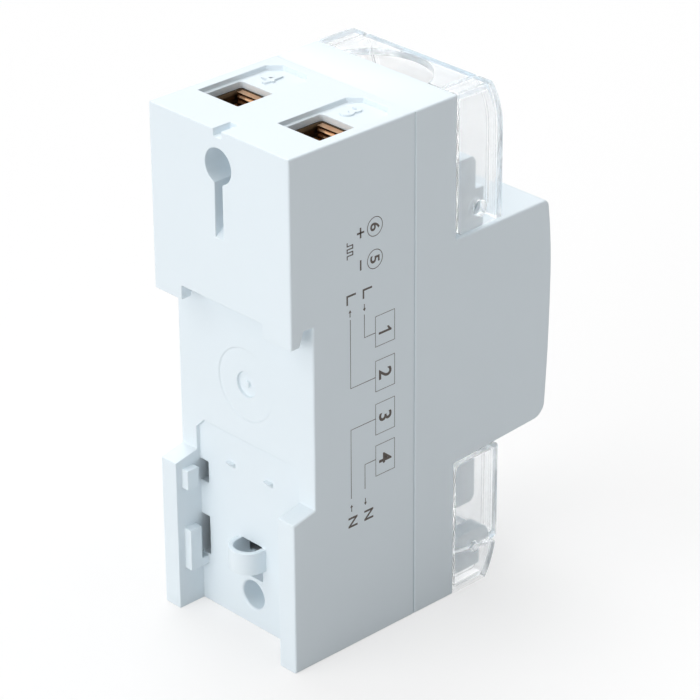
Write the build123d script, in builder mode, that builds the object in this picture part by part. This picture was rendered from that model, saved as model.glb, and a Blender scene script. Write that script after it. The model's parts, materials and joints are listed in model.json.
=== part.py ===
from build123d import *
import os
from math import sqrt

# Two-module energy meter for a 35 mm DIN rail, in millimetres.
# X is the width, -Y is the front with the display, +Y is the back with the rail seat, +Z is up.
# The origin is the middle of the bounding box in X and Y, on the bottom face.
# Every "depth" is counted from the back face towards the front.

# Overall sizes
width = 35.4
height = 100.0
depth = 64.4
seam_depth = 29.5
cover_depth = 51.4
cover_rise = 11.7
display_height = 45.0

# Walls and clearances
side_wall = 2.0
end_wall = 2.3
front_wall = 1.8
floor_wall = 2.0
shroud_wall = 1.6
cover_wall = 1.4
edge_break = 0.25
fit_gap = 0.1
cover_gap = 0.2

# Rail seat
channel_depth = 5.1
rib_under_middle = 18.5
rib_top_drop = 1.1
lip_over_middle = 14.45
undercut_over_middle = 17.2
lip_root = 3.1
lip_tip = 2.1
lip_gap_half_width = 10.5

# Latch recess, its guides and stops
recess_depth = 5.9
recess_side = 4.1
recess_over_rib = 6.7
recess_corner = 2.0
stop_reach = 1.6
stop_back = 1.35
stop_front = 4.1
stop_under_rib = 6.6
stop_height = 4.0
guide_reach = 1.7
guide_back = 1.6
guide_front = 4.3
guide_bottom = 8.0
guide_height = 8.5
guide_foot_height = 1.7
core_window_width = 2.1
stop_window_under_rib = 6.5
stop_window_height = 4.4
guide_window_bottom = 10.0
guide_window_height = 8.0

# Wedges, loop and hole on the recess floor
wedge_spacing = 10.0
wedge_width = 1.8
wedge_under_rib = 0.6
wedge_height = 1.1
wedge_proud = 1.0
loop_bottom = 12.9
loop_height = 4.5
loop_inner_radius = 2.7
loop_wall = 1.0
loop_proud = 4.6
loop_window_bottom = 10.1
loop_window_depth = 2.5
latch_hole_z = 6.3
latch_hole_radius = 2.8
latch_hole_depth = 5.0
latch_hole_chamfer = 0.3

# Round mark left by the mould in the rail seat
mark_under_middle = 0.3
mark_radius = 7.0
mark_depth = 0.2
gate_radius = 2.45
gate_depth = 0.8
gate_nub_radius = 0.6
gate_nub_height = 0.5

# Keyhole and the notch above it
keyhole_from_top = 6.75
keyhole_radius = 3.33
keyhole_slot_width = 2.0
keyhole_length = 13.55
keyhole_depth = 6.8
keyhole_ramp = 5.4
notch_width = 2.0
notch_length = 3.9
notch_depth = 1.4

# Cable entries of the main terminals, two at each end
entry_recess_width = 10.3
entry_recess_back = 9.3
entry_recess_length = 18.0
entry_recess_depth = 0.95
entry_recess_corner = 2.1
entry_hole_width = 9.2
entry_hole_length = 9.55
entry_hole_corner = 0.6

# Clamp cages and their screws
cage_width = 10.2
cage_wall = 1.3
cage_back = 9.1
cage_length = 17.2
cage_nose_wall = 2.0
cage_height = 9.0
cage_inset = 4.5
cage_corner = 0.8
cage_side_gap = 0.4
tooth_pitch = 1.0
tooth_depth = 0.3
tooth_width = 0.6
screw_radius = 2.4
screw_hole_gap = 0.06
screw_head_radius = 3.0
screw_head_height = 3.5
screw_head_gap = 0.6
screw_slot_width = 1.0
screw_slot_depth = 1.4
web_gap = 0.2
web_length = 14.0
funnel_radius = 3.3
funnel_wall = 1.3

# Copper bars between the cages
blade_back = 17.0
blade_thickness = 1.3
blade_gap = 0.1
blade_inset = 2.25
bar_inset = 16.0
bar_height = 8.0
shunt_width = 7.0

# Tongue of the front shell inside the rear shell
tongue_thickness = 1.0
tongue_length = 1.6
tongue_root = 2.0
tongue_bite = 0.6

# Display part of the front shell
display_top_rise = 0.4
display_under_rise = 1.4
crown_rise = 30.5
crown_drop = 1.1
display_top_radius = 1.5
display_under_radius = 3.0

# Stepped shrouds under the clear covers
upper_shroud_height = 14.4
upper_shroud_setback = 6.2
upper_step_height = 7.85
upper_step_setback = 4.2
lower_shroud_height = 10.2
lower_shroud_setback = 5.6
shroud_radius = 1.5
sill_bottom = 3.3
sill_top = 11.0
sill_setback = 1.8
sill_step_z = 7.7
sill_step_setback = 4.1
sill_radius = 2.0

# Clear covers
cover_arc_radius = 18.7
cover_flat_setback = 2.9
cover_corner_radius = 2.0
cover_edge_break = 0.4
cover_groove_side = 4.25
cover_groove_width = 0.55
cover_groove_depth = 0.7
finger_cut_radius = 11.3
finger_cut_reach = 7.4
finger_cut_offset = 0.45
finger_cut_drop = 5.0
seal_hole_radius = 1.5
seal_hole_setback = 5.8
seal_hole_rise = 4.15
shroud_hole_radius = 1.0
split_back_z = 8.75
split_front_z = 7.1
split_gap = 0.4
notch_setback = 2.0
cover_notch_z = 8.4
wire_hole_radius = 0.95
wire_hole_setback = 6.05
wire_hole_z = 7.8

# Display window, glass and what carries them
window_side = 4.2
window_height = 15.0
window_rise = 30.5
window_corner = 1.0
window_flange = 1.5
window_flange_thickness = 1.0
window_sunk = 0.5
glass_margin = 0.6
glass_thickness = 1.8
guide_plate_thickness = 3.0
strip_thickness = 1.6
strip_gap = 0.3
main_board_side_gap = 1.4
main_board_bottom_gap = 3.3
main_board_top_gap = 2.7
main_board_thickness = 1.2
boss_radius = 1.8
boss_inset = 3.0
boss_spacing = 11.0
chip_size = 10.0
chip_thickness = 1.4
chip_rise = 27.5
pipe_rise = 8.5
pipe_radius = 1.5
pipe_sunk = 0.5
led_size = 3.2
led_thickness = 1.8
led_side_gap = 1.6

# Supply board and its parts
power_board_side_gap = 1.5
power_board_top_gap = 7.5
power_board_tongue = 10.6
power_board_thickness = 1.6
power_board_setback = 6.9
post_radius = 2.0
post_offset = 8.5
post_low_gap = 4.0
post_high_gap = 10.0
capacitor_width = 13.0
capacitor_height = 12.0
capacitor_front_gap = 7.8
capacitor_side_gap = 0.9
capacitor_rise = 22.0
capacitor_corner = 0.5
smoothing_radius = 4.0
smoothing_front_gap = 10.8
smoothing_side_gap = 2.7
smoothing_top_gap = 0.7
smoothing_edge = 0.5
varistor_radius = 5.0
varistor_thickness = 4.0
varistor_side_gap = 2.2
varistor_gap = 0.5
varistor_edge = 1.0
header_pins = 6
header_pitch = 2.54
header_rise = 9.0
header_base = 2.5
header_pin_width = 0.64

# Two-pole pulse terminal on the supply board, behind the upper shroud
pulse_block_width = 11.0
pulse_block_height = 10.0
pulse_block_top_gap = 0.4
pulse_block_front_gap = 0.3
pulse_pitch = 5.0
pulse_entry_size = 2.6
pulse_entry_depth = 4.0
pulse_entry_setback = 1.5
pulse_screw_radius = 1.4
pulse_screw_length = 1.4
pulse_screw_drop = 2.0
pulse_screw_gap = 0.05
pulse_access_radius = 1.6
pulse_slot_width = 0.6
pulse_slot_depth = 0.5

# Places worked out from the sizes above
half_width = width / 2
middle_z = height / 2
inner_half_width = half_width - side_wall
shroud_half_width = half_width - cover_wall - cover_gap
terminal_depth = cover_depth - cover_rise
display_bottom = middle_z - display_height / 2
display_top = display_bottom + display_height

rib_top = middle_z - rib_under_middle
lip_bottom = middle_z + lip_over_middle
undercut_top = middle_z + undercut_over_middle
recess_half_width = half_width - recess_side
recess_top = rib_top + recess_over_rib
cavity_depth = recess_depth + floor_wall

cage_front = cage_back + cage_length
terminal_offset = inner_half_width - cage_side_gap - cage_width / 2
web_half_width = terminal_offset - cage_width / 2 - web_gap
head_back = cage_front + screw_head_gap
blade_front = blade_back + blade_thickness
blade_width = cage_width - 2 * cage_wall - 2 * blade_gap
entry_recess_middle = entry_recess_back + entry_recess_length / 2
entry_hole_middle = entry_recess_back + entry_hole_length / 2

upper_shroud_depth = cover_depth - upper_shroud_setback
upper_step_depth = cover_depth - upper_step_setback
lower_shroud_depth = cover_depth - lower_shroud_setback
sill_depth = cover_depth - sill_setback
sill_step_depth = cover_depth - sill_step_setback
cover_flat_depth = cover_depth - cover_flat_setback
cover_groove_offset = half_width - cover_groove_side + cover_groove_width / 2
seal_hole_depth = cover_depth - seal_hole_setback
wire_hole_depth = cover_depth - wire_hole_setback

window_width = width - 2 * window_side
window_z = display_bottom + window_rise
window_seat_depth = depth - front_wall
glass_front = window_seat_depth - window_flange_thickness - fit_gap
glass_back = glass_front - glass_thickness
main_board_front = glass_back - guide_plate_thickness - fit_gap
main_board_back = main_board_front - main_board_thickness
main_board_width = 2 * (half_width - front_wall - main_board_side_gap)
main_board_bottom = display_bottom + main_board_bottom_gap
main_board_height = display_height - main_board_bottom_gap - main_board_top_gap
boss_x = main_board_width / 2 - boss_inset
pipe_offset = boss_x - boss_radius - led_side_gap - led_size / 2
pipe_z = display_bottom + pipe_rise

power_board_width = 2 * (inner_half_width - power_board_side_gap)
power_board_bottom = bar_inset + bar_height
power_board_top = height - bar_inset - power_board_top_gap
power_board_depth = terminal_depth - front_wall - power_board_setback
power_board_front = power_board_depth + power_board_thickness
post_low_z = power_board_bottom + post_low_gap
post_high_z = height - bar_inset - bar_height - post_high_gap
capacitor_offset = capacitor_side_gap + (capacitor_width - power_board_width) / 2
capacitor_bottom = display_bottom + capacitor_rise
smoothing_offset = power_board_width / 2 - smoothing_side_gap - smoothing_radius
smoothing_z = display_top - front_wall - smoothing_top_gap - smoothing_radius
varistor_offset = power_board_width / 2 - varistor_side_gap - varistor_radius
varistor_z = capacitor_bottom - varistor_gap - varistor_radius
header_z = display_bottom + header_rise

pulse_entry_depth_from_back = terminal_depth + pulse_entry_setback
pulse_block_top = display_top + upper_shroud_height - shroud_wall - pulse_block_top_gap
pulse_screw_z = pulse_block_top - pulse_screw_drop
pulse_block_front = upper_shroud_depth - shroud_wall - pulse_block_front_gap

# Terminal number to side (-1 left, 1 right, seen from the front) and whether it is at the top
terminals = {1: (-1, False), 2: (1, False), 3: (-1, True), 4: (1, True)}


def at_depth(distance):
    """Y of a plane this far in front of the back face."""
    return depth / 2 - distance


def from_end(upper, distance):
    """Z of a point this far in from the top or the bottom end."""
    return height - distance if upper else distance


def low_z(upper, inset, tall):
    """Lowest Z of something of this height whose outer end is inset from its end of the meter."""
    return height - inset - tall if upper else inset


def facing_front(distance):
    """Sketch plane at a depth, X to the right and Z up, whose normal points to the front."""
    return Plane.XZ.offset(-at_depth(distance))


def side_outline(*points):
    """Closed outline in the YZ plane from (depth, z) pairs."""
    with BuildSketch() as outline:
        with BuildLine():
            Polyline(*[(at_depth(d), z) for d, z in points], close=True)
        make_face()
    return outline.sketch


def finish(builder, name):
    """Name a finished piece and write its file."""
    builder.part.label = name
    export_step(builder.part, f"parts/{name}.step")


os.makedirs("parts", exist_ok=True)

# Rear shell
with BuildPart() as rear_housing:
    with BuildSketch(Plane.YZ):
        add(
            side_outline(
                (seam_depth, 0),
                (0, 0),
                (0, rib_top - rib_top_drop),
                (channel_depth, rib_top),
                (channel_depth, undercut_top),
                (lip_root, undercut_top),
                (lip_tip, lip_bottom),
                (0, lip_bottom),
                (0, height),
                (seam_depth, height),
            )
        )
    extrude(amount=half_width, both=True)
    chamfer(rear_housing.faces().filter_by(Axis.X).edges(), edge_break)

    # The lip is open in the middle
    with BuildSketch(facing_front(0)):
        with Locations((0, (lip_bottom + undercut_top) / 2)):
            Rectangle(2 * lip_gap_half_width, undercut_top - lip_bottom)
    extrude(amount=channel_depth, mode=Mode.SUBTRACT)

    # Recess that the latch slides in
    with BuildSketch(facing_front(0)) as recess:
        with Locations((0, recess_top / 2)):
            Rectangle(2 * recess_half_width, recess_top)
        chamfer(recess.vertices().group_by(Axis.Y)[-1], recess_corner)
    extrude(amount=recess_depth, mode=Mode.SUBTRACT)

    # Main hollow, open at the seam
    with BuildSketch(facing_front(cavity_depth)):
        with Locations((0, middle_z)):
            Rectangle(2 * inner_half_width, height - 2 * end_wall)
    extrude(amount=seam_depth - cavity_depth, mode=Mode.SUBTRACT)

    # Webs between the terminals and the posts of the supply board
    with BuildSketch(facing_front(cavity_depth)):
        for upper in (False, True):
            with Locations((0, from_end(upper, web_length / 2))):
                Rectangle(2 * web_half_width, web_length)
    extrude(amount=cage_front - cavity_depth)
    with BuildSketch(facing_front(cavity_depth)):
        for post_z in (post_low_z, post_high_z):
            with Locations((-post_offset, post_z), (post_offset, post_z)):
                Circle(post_radius)
    extrude(amount=power_board_depth - cavity_depth)

    # Cable entries
    for upper in (False, True):
        inward = -1 if upper else 1
        with BuildSketch(Plane.XY.offset(from_end(upper, 0))) as entry_recess:
            with Locations(*[(side * terminal_offset, at_depth(entry_recess_middle)) for side in (-1, 1)]):
                Rectangle(entry_recess_width, entry_recess_length)
            chamfer(entry_recess.vertices().group_by(Axis.Y)[0], entry_recess_corner)
        extrude(amount=inward * entry_recess_depth, mode=Mode.SUBTRACT)
        with BuildSketch(Plane.XY.offset(from_end(upper, 0))):
            with Locations(*[(side * terminal_offset, at_depth(entry_hole_middle)) for side in (-1, 1)]):
                RectangleRounded(entry_hole_width, entry_hole_length, entry_hole_corner)
        extrude(amount=inward * end_wall, mode=Mode.SUBTRACT)

    # Stops and guides of the latch, each with the window of its mould core behind it
    stop_z = rib_top - stop_under_rib + stop_height / 2
    stop_window_z = rib_top - stop_window_under_rib + stop_window_height / 2
    for side in (-1, 1):
        with BuildSketch(facing_front(stop_back)):
            with Locations((side * (recess_half_width - stop_reach / 2), stop_z)):
                Rectangle(stop_reach, stop_height)
        extrude(amount=stop_front - stop_back)
        guide_x = side * (recess_half_width - guide_reach / 2)
        with BuildSketch(facing_front(guide_back)):
            with Locations((guide_x, guide_bottom + guide_height / 2)):
                Rectangle(guide_reach, guide_height)
        extrude(amount=guide_front - guide_back)
        with BuildSketch(facing_front(guide_front)):
            with Locations((guide_x, guide_bottom + guide_foot_height / 2)):
                Rectangle(guide_reach, guide_foot_height)
        extrude(amount=recess_depth - guide_front)
        window_x = side * (recess_half_width - core_window_width / 2)
        with BuildSketch(facing_front(recess_depth)):
            with Locations((window_x, stop_window_z)):
                Rectangle(core_window_width, stop_window_height)
            with Locations((window_x, guide_window_bottom + guide_window_height / 2)):
                Rectangle(core_window_width, guide_window_height)
        extrude(amount=floor_wall, mode=Mode.SUBTRACT)

    # Snap wedges on the recess floor
    wedge_bottom = rib_top - wedge_under_rib
    with BuildSketch(Plane.YZ.offset(-wedge_width / 2)):
        add(
            side_outline(
                (recess_depth, wedge_bottom),
                (recess_depth, wedge_bottom + wedge_height),
                (recess_depth - wedge_proud, wedge_bottom + wedge_height),
            )
        )
    wedge = extrude(amount=wedge_width, mode=Mode.PRIVATE)
    with Locations((-wedge_spacing / 2, 0, 0), (wedge_spacing / 2, 0, 0)):
        add(wedge)

    # Loop that the latch's tail passes through, with a window behind it
    loop_centre = at_depth(recess_depth - loop_proud + loop_inner_radius + loop_wall)
    loop_floor = at_depth(recess_depth)
    loop_outer = loop_inner_radius + loop_wall
    with BuildSketch(Plane.XY.offset(loop_bottom)):
        with BuildLine():
            Line((-loop_outer, loop_floor), (-loop_outer, loop_centre))
            ThreePointArc(
                (-loop_outer, loop_centre),
                (0, loop_centre + loop_outer),
                (loop_outer, loop_centre),
            )
            Line((loop_outer, loop_centre), (loop_outer, loop_floor))
            Line((loop_outer, loop_floor), (loop_inner_radius, loop_floor))
            Line((loop_inner_radius, loop_floor), (loop_inner_radius, loop_centre))
            ThreePointArc(
                (loop_inner_radius, loop_centre),
                (0, loop_centre + loop_inner_radius),
                (-loop_inner_radius, loop_centre),
            )
            Line((-loop_inner_radius, loop_centre), (-loop_inner_radius, loop_floor))
            Line((-loop_inner_radius, loop_floor), (-loop_outer, loop_floor))
        make_face()
    extrude(amount=loop_height)
    loop_window_height = loop_bottom + loop_height - loop_window_bottom
    with BuildSketch(facing_front(recess_depth)):
        with Locations((0, loop_window_bottom + loop_window_height / 2)):
            Rectangle(2 * loop_inner_radius, loop_window_height)
    extrude(amount=loop_window_depth, mode=Mode.SUBTRACT)

    # Blind hole below the loop
    with BuildSketch(facing_front(recess_depth)):
        with Locations((0, latch_hole_z)):
            Circle(latch_hole_radius)
    extrude(amount=latch_hole_depth, mode=Mode.SUBTRACT)
    with BuildSketch(facing_front(recess_depth)):
        with Locations((0, latch_hole_z)):
            Circle(latch_hole_radius + latch_hole_chamfer)
    extrude(amount=latch_hole_chamfer, taper=45, mode=Mode.SUBTRACT)

    # Mould mark on the floor of the rail seat
    mark_z = middle_z - mark_under_middle
    with BuildSketch(facing_front(channel_depth)):
        with Locations((0, mark_z)):
            Circle(mark_radius)
    extrude(amount=mark_depth, mode=Mode.SUBTRACT)
    with BuildSketch(facing_front(channel_depth)):
        with Locations((0, mark_z)):
            Circle(gate_radius)
    extrude(amount=gate_depth, mode=Mode.SUBTRACT)
    with BuildSketch(facing_front(channel_depth + gate_depth - gate_nub_height)):
        with Locations((0, mark_z)):
            Circle(gate_nub_radius)
    extrude(amount=gate_nub_height)

    # Keyhole, whose slot ends in a ramp, and the notch in the top edge
    keyhole_z = height - keyhole_from_top
    keyhole_end = keyhole_z - keyhole_length
    with BuildSketch(facing_front(0)):
        with Locations((0, keyhole_z)):
            Circle(keyhole_radius)
    extrude(amount=keyhole_depth, mode=Mode.SUBTRACT)
    with BuildSketch(Plane.YZ):
        add(
            side_outline(
                (0, keyhole_end),
                (keyhole_depth, keyhole_end + keyhole_ramp),
                (keyhole_depth, keyhole_z),
                (0, keyhole_z),
            )
        )
    extrude(amount=keyhole_slot_width / 2, both=True, mode=Mode.SUBTRACT)
    with BuildSketch(Plane.XY.offset(height)):
        with Locations((0, at_depth(notch_length / 2))):
            Rectangle(notch_width, notch_length)
    extrude(amount=-notch_depth, mode=Mode.SUBTRACT)
finish(rear_housing, "rear_housing")


def front_outline(rear_depth):
    """Side outline of the front shell from a given depth, with its crowned display front."""
    crown = (at_depth(depth), display_bottom + crown_rise)
    under_corner = (at_depth(depth - crown_drop), display_bottom + display_under_rise)
    top_corner = (at_depth(depth - crown_drop), display_top + display_top_rise)
    with BuildSketch() as outline:
        with BuildLine():
            Polyline(
                under_corner,
                (at_depth(terminal_depth), display_bottom),
                (at_depth(terminal_depth), 0),
                (at_depth(rear_depth), 0),
                (at_depth(rear_depth), height),
                (at_depth(terminal_depth), height),
                (at_depth(terminal_depth), display_top),
                top_corner,
            )
            TangentArc(crown, top_corner, tangent=(0, 1))
            TangentArc(crown, under_corner, tangent=(0, -1))
        make_face()
        fillet(outline.vertices().sort_by_distance(under_corner)[0], display_under_radius)
        fillet(outline.vertices().sort_by_distance(top_corner)[0], display_top_radius)
    return outline.sketch


def upper_shroud(inset, rear_depth, bottom):
    """Side outline of the stepped shroud above the display, drawn in by its wall for the hollow."""
    return side_outline(
        (rear_depth, bottom),
        (upper_step_depth - inset, bottom),
        (upper_step_depth - inset, display_top + upper_step_height - inset),
        (upper_shroud_depth - inset, display_top + upper_step_height - inset),
        (upper_shroud_depth - inset, display_top + upper_shroud_height - inset),
        (rear_depth, display_top + upper_shroud_height - inset),
    )


def lower_shroud(inset, rear_depth, top):
    """Side outline of the shroud below the display, drawn in by its wall for the hollow."""
    return side_outline(
        (rear_depth, display_bottom - lower_shroud_height + inset),
        (lower_shroud_depth - inset, display_bottom - lower_shroud_height + inset),
        (lower_shroud_depth - inset, top),
        (rear_depth, top),
    )


def sill(inset, rear_depth):
    """Side outline of the stepped sill across the bottom end, drawn in by its wall for the hollow."""
    return side_outline(
        (rear_depth, sill_bottom + inset),
        (sill_step_depth - inset, sill_bottom + inset),
        (sill_step_depth - inset, sill_step_z + inset),
        (sill_depth - inset, sill_step_z + inset),
        (sill_depth - inset, sill_top - inset),
        (rear_depth, sill_top - inset),
    )


# Front shell
with BuildPart() as front_housing:
    with BuildSketch(Plane.YZ):
        add(front_outline(seam_depth))
    extrude(amount=half_width, both=True)
    chamfer(front_housing.faces().filter_by(Axis.X).edges(), edge_break)

    # Shrouds and sill
    for profile, corner, radius in (
        (
            upper_shroud(0, terminal_depth, display_top - front_wall / 2),
            (upper_shroud_depth, display_top + upper_shroud_height),
            shroud_radius,
        ),
        (
            lower_shroud(0, terminal_depth, display_bottom + front_wall / 2),
            (lower_shroud_depth, display_bottom - lower_shroud_height),
            shroud_radius,
        ),
        (sill(0, terminal_depth), (sill_depth, sill_top), sill_radius),
    ):
        with BuildSketch(Plane.YZ) as rounded:
            add(profile)
            fillet(rounded.vertices().sort_by_distance((at_depth(corner[0]), corner[1]))[0], radius)
        extrude(amount=shroud_half_width, both=True)

    # Hollow of the shell, open at the seam, and of the shrouds
    with BuildSketch(Plane.YZ):
        add(front_outline(cage_back))
        offset(amount=-front_wall, kind=Kind.INTERSECTION)
    extrude(amount=half_width - front_wall, both=True, mode=Mode.SUBTRACT)
    inside = terminal_depth - 2 * front_wall
    with BuildSketch(Plane.YZ):
        add(upper_shroud(shroud_wall, inside, display_top + shroud_wall))
        add(lower_shroud(shroud_wall, inside, display_bottom - shroud_wall))
    extrude(amount=shroud_half_width - shroud_wall, both=True, mode=Mode.SUBTRACT)

    # Tongue that enters the rear shell
    tongue_outer_x = 2 * (inner_half_width - fit_gap)
    tongue_outer_z = height - 2 * (end_wall + fit_gap)
    for start, length, grow in (
        (seam_depth - tongue_length, tongue_length, 0),
        (seam_depth, tongue_root, tongue_bite),
    ):
        with BuildSketch(facing_front(start)):
            with Locations((0, middle_z)):
                Rectangle(tongue_outer_x + 2 * grow, tongue_outer_z + 2 * grow)
                Rectangle(
                    tongue_outer_x - 2 * tongue_thickness,
                    tongue_outer_z - 2 * tongue_thickness,
                    mode=Mode.SUBTRACT,
                )
        extrude(amount=length)

    # Funnels round the heads of the clamp screws, which lead a screwdriver in
    screw_places = [
        (side * terminal_offset, from_end(upper, cage_inset + cage_height / 2))
        for side, upper in terminals.values()
    ]
    with BuildSketch(facing_front(head_back)):
        with Locations(*screw_places):
            Circle(funnel_radius + funnel_wall)
    extrude(amount=terminal_depth - head_back)
    with BuildSketch(facing_front(head_back)):
        with Locations(*screw_places):
            Circle(funnel_radius)
    extrude(amount=cover_depth - head_back, mode=Mode.SUBTRACT)

    # Bosses that the display board rests on
    boss_z = main_board_bottom + boss_inset
    with BuildSketch(facing_front(main_board_front)):
        for lift in (0, boss_spacing):
            with Locations((-boss_x, boss_z + lift), (boss_x, boss_z + lift)):
                Circle(boss_radius)
    extrude(amount=window_seat_depth - main_board_front)

    # Display opening with the seat of its window, and the hole of the light pipe
    seat_width = window_width + 2 * window_flange + 2 * fit_gap
    seat_height = window_height + 2 * window_flange + 2 * fit_gap
    with BuildSketch(facing_front(glass_back)):
        with Locations((0, window_z)):
            Rectangle(seat_width, seat_height)
    extrude(amount=window_seat_depth - glass_back, mode=Mode.SUBTRACT)
    with BuildSketch(facing_front(glass_back)):
        with Locations((0, window_z)):
            RectangleRounded(window_width, window_height, window_corner)
        with Locations((pipe_offset, pipe_z)):
            Circle(pipe_radius + fit_gap)
    extrude(amount=depth - glass_back, mode=Mode.SUBTRACT)

    # Wire entries and screw holes of the pulse terminal
    pulse_x = [-pulse_pitch / 2, pulse_pitch / 2]
    with BuildSketch(Plane.XY.offset(display_top + upper_shroud_height)):
        with Locations(*[(x, at_depth(pulse_entry_depth_from_back)) for x in pulse_x]):
            Rectangle(pulse_entry_size, pulse_entry_size)
    extrude(amount=-shroud_wall, mode=Mode.SUBTRACT)
    with BuildSketch(facing_front(upper_shroud_depth - shroud_wall)):
        with Locations(*[(x, pulse_screw_z) for x in pulse_x]):
            Circle(pulse_access_radius)
    extrude(amount=shroud_wall, mode=Mode.SUBTRACT)

    # Hole of the seal wire through the upper shroud
    with BuildSketch(Plane.YZ.offset(-half_width)):
        with Locations((at_depth(seal_hole_depth), display_top + seal_hole_rise)):
            Circle(shroud_hole_radius)
    extrude(amount=width, mode=Mode.SUBTRACT)
finish(front_housing, "front_housing")


def cover_outline(upper, inset, overrun):
    """Side outline of a clear cover: flat end, large arc and upright front, down to the display."""
    arc_depth = cover_depth - cover_arc_radius
    arc_inward = sqrt(cover_arc_radius**2 - (cover_flat_depth - arc_depth) ** 2)
    radius = cover_arc_radius - inset
    flat_end = (at_depth(arc_depth + sqrt(radius**2 - (arc_inward - inset) ** 2)), from_end(upper, inset))
    arc_start = (at_depth(cover_depth - inset), from_end(upper, arc_inward))
    outward = 1 if upper else -1
    display_edge = display_top + cover_gap if upper else display_bottom - cover_gap
    slope = display_top_rise if upper else 0
    near_edge = display_edge + outward * (slope - overrun)
    with BuildSketch() as outline:
        with BuildLine():
            TangentArc(arc_start, flat_end, tangent=(0, outward))
            Polyline(
                flat_end,
                (at_depth(terminal_depth - overrun), from_end(upper, inset)),
                (at_depth(terminal_depth - overrun), display_edge - outward * overrun),
                (at_depth(cover_depth - inset), near_edge),
                arc_start,
            )
        make_face()
    return outline.sketch


def cover_shell(upper):
    """Clear cover with open back and open inner end, and a deep groove along each side of its front."""
    display_edge = display_top + cover_gap if upper else display_bottom - cover_gap
    with BuildPart() as shell:
        with BuildSketch(Plane.YZ) as outer:
            add(cover_outline(upper, 0, 0))
            corner = (at_depth(terminal_depth), display_edge)
            fillet(outer.vertices().sort_by_distance(corner)[0], cover_corner_radius)
        extrude(amount=half_width, both=True)
        chamfer(shell.faces().filter_by(Axis.X).edges().filter_by(GeomType.CIRCLE), cover_edge_break)
        with BuildSketch(Plane.YZ):
            add(cover_outline(upper, cover_wall, cover_wall))
        extrude(amount=half_width - cover_wall, both=True, mode=Mode.SUBTRACT)
        for side in (-1, 1):
            with BuildSketch(Plane.YZ.offset(side * cover_groove_offset)):
                add(cover_outline(upper, 0, 0))
                add(cover_outline(upper, cover_groove_depth, cover_wall), mode=Mode.SUBTRACT)
            extrude(amount=cover_groove_width / 2, both=True, mode=Mode.SUBTRACT)
    return shell.part


# Upper cover, with the half-round cut-out over the small terminal and the holes of the seal wire
with BuildPart() as upper_terminal_cover:
    add(cover_shell(True))
    with BuildSketch(Plane.XY.offset(height)):
        with Locations((finger_cut_offset, at_depth(terminal_depth + finger_cut_reach - finger_cut_radius))):
            Circle(finger_cut_radius)
    extrude(amount=-finger_cut_drop, mode=Mode.SUBTRACT)
    with BuildSketch(Plane.YZ.offset(-half_width)):
        with Locations((at_depth(seal_hole_depth), display_top + seal_hole_rise)):
            Circle(seal_hole_radius)
    extrude(amount=width, mode=Mode.SUBTRACT)
finish(upper_terminal_cover, "upper_terminal_cover")

# Lower cover, in two pieces with a slanted parting line and the small holes of a wire on it
with BuildPart() as lower_shell:
    add(cover_shell(False))
    with BuildSketch(Plane.YZ):
        with Locations((at_depth(wire_hole_depth), wire_hole_z)):
            Circle(wire_hole_radius)
    extrude(amount=half_width, both=True, mode=Mode.SUBTRACT)

with BuildPart() as lower_terminal_cover:
    add(lower_shell.part)
    with BuildSketch(Plane.YZ):
        add(
            side_outline(
                (0, split_back_z + split_gap / 2),
                (terminal_depth, split_back_z + split_gap / 2),
                (cover_depth - notch_setback, split_front_z + split_gap / 2),
                (cover_depth, cover_notch_z),
                (depth, cover_notch_z),
                (depth, -sill_top),
                (0, -sill_top),
            )
        )
    extrude(amount=width, both=True, mode=Mode.SUBTRACT)
finish(lower_terminal_cover, "lower_terminal_cover")

with BuildPart() as lower_cover_flap:
    add(lower_shell.part)
    with BuildSketch(Plane.YZ):
        add(
            side_outline(
                (0, split_back_z - split_gap / 2),
                (terminal_depth, split_back_z - split_gap / 2),
                (cover_depth, split_front_z - split_gap),
                (depth, split_front_z - split_gap),
                (depth, height),
                (0, height),
            )
        )
    extrude(amount=width, both=True, mode=Mode.SUBTRACT)
finish(lower_cover_flap, "lower_cover_flap")


def tooth_row(surface, outward, low, high):
    """V grooves across a clamping face, cut into it along the given direction of depth."""
    grooves = []
    count = int((high - low) / tooth_pitch)
    first = (low + high - (count - 1) * tooth_pitch) / 2
    for index in range(count):
        middle = first + index * tooth_pitch
        grooves.append(
            side_outline(
                (surface, middle - tooth_width / 2),
                (surface + outward * tooth_depth, middle),
                (surface, middle + tooth_width / 2),
            )
        )
    return grooves


# Clamp cages, one at each cable entry
for number, (side, upper) in terminals.items():
    cage_bottom = low_z(upper, cage_inset, cage_height)
    cage_middle = (cage_back + cage_front) / 2
    inner_length = cage_length - cage_wall - cage_nose_wall
    inner_middle = cage_back + cage_wall + inner_length / 2
    with BuildPart() as terminal_cage:
        with BuildSketch(Plane.XY.offset(cage_bottom)):
            with Locations((side * terminal_offset, at_depth(cage_middle))):
                RectangleRounded(cage_width, cage_length, cage_corner)
            with Locations((side * terminal_offset, at_depth(inner_middle))):
                Rectangle(cage_width - 2 * cage_wall, inner_length, mode=Mode.SUBTRACT)
        extrude(amount=cage_height)
        with BuildSketch(facing_front(cage_front - cage_nose_wall)):
            with Locations((side * terminal_offset, cage_bottom + cage_height / 2)):
                Circle(screw_radius + screw_hole_gap)
        extrude(amount=cage_nose_wall, mode=Mode.SUBTRACT)
        with BuildSketch(Plane.YZ.offset(side * terminal_offset)):
            add(tooth_row(cage_back + cage_wall, -1, cage_bottom, cage_bottom + cage_height))
        extrude(amount=cage_width / 2 - cage_wall, both=True, mode=Mode.SUBTRACT)
    finish(terminal_cage, f"terminal_cage_{number}")

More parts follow.
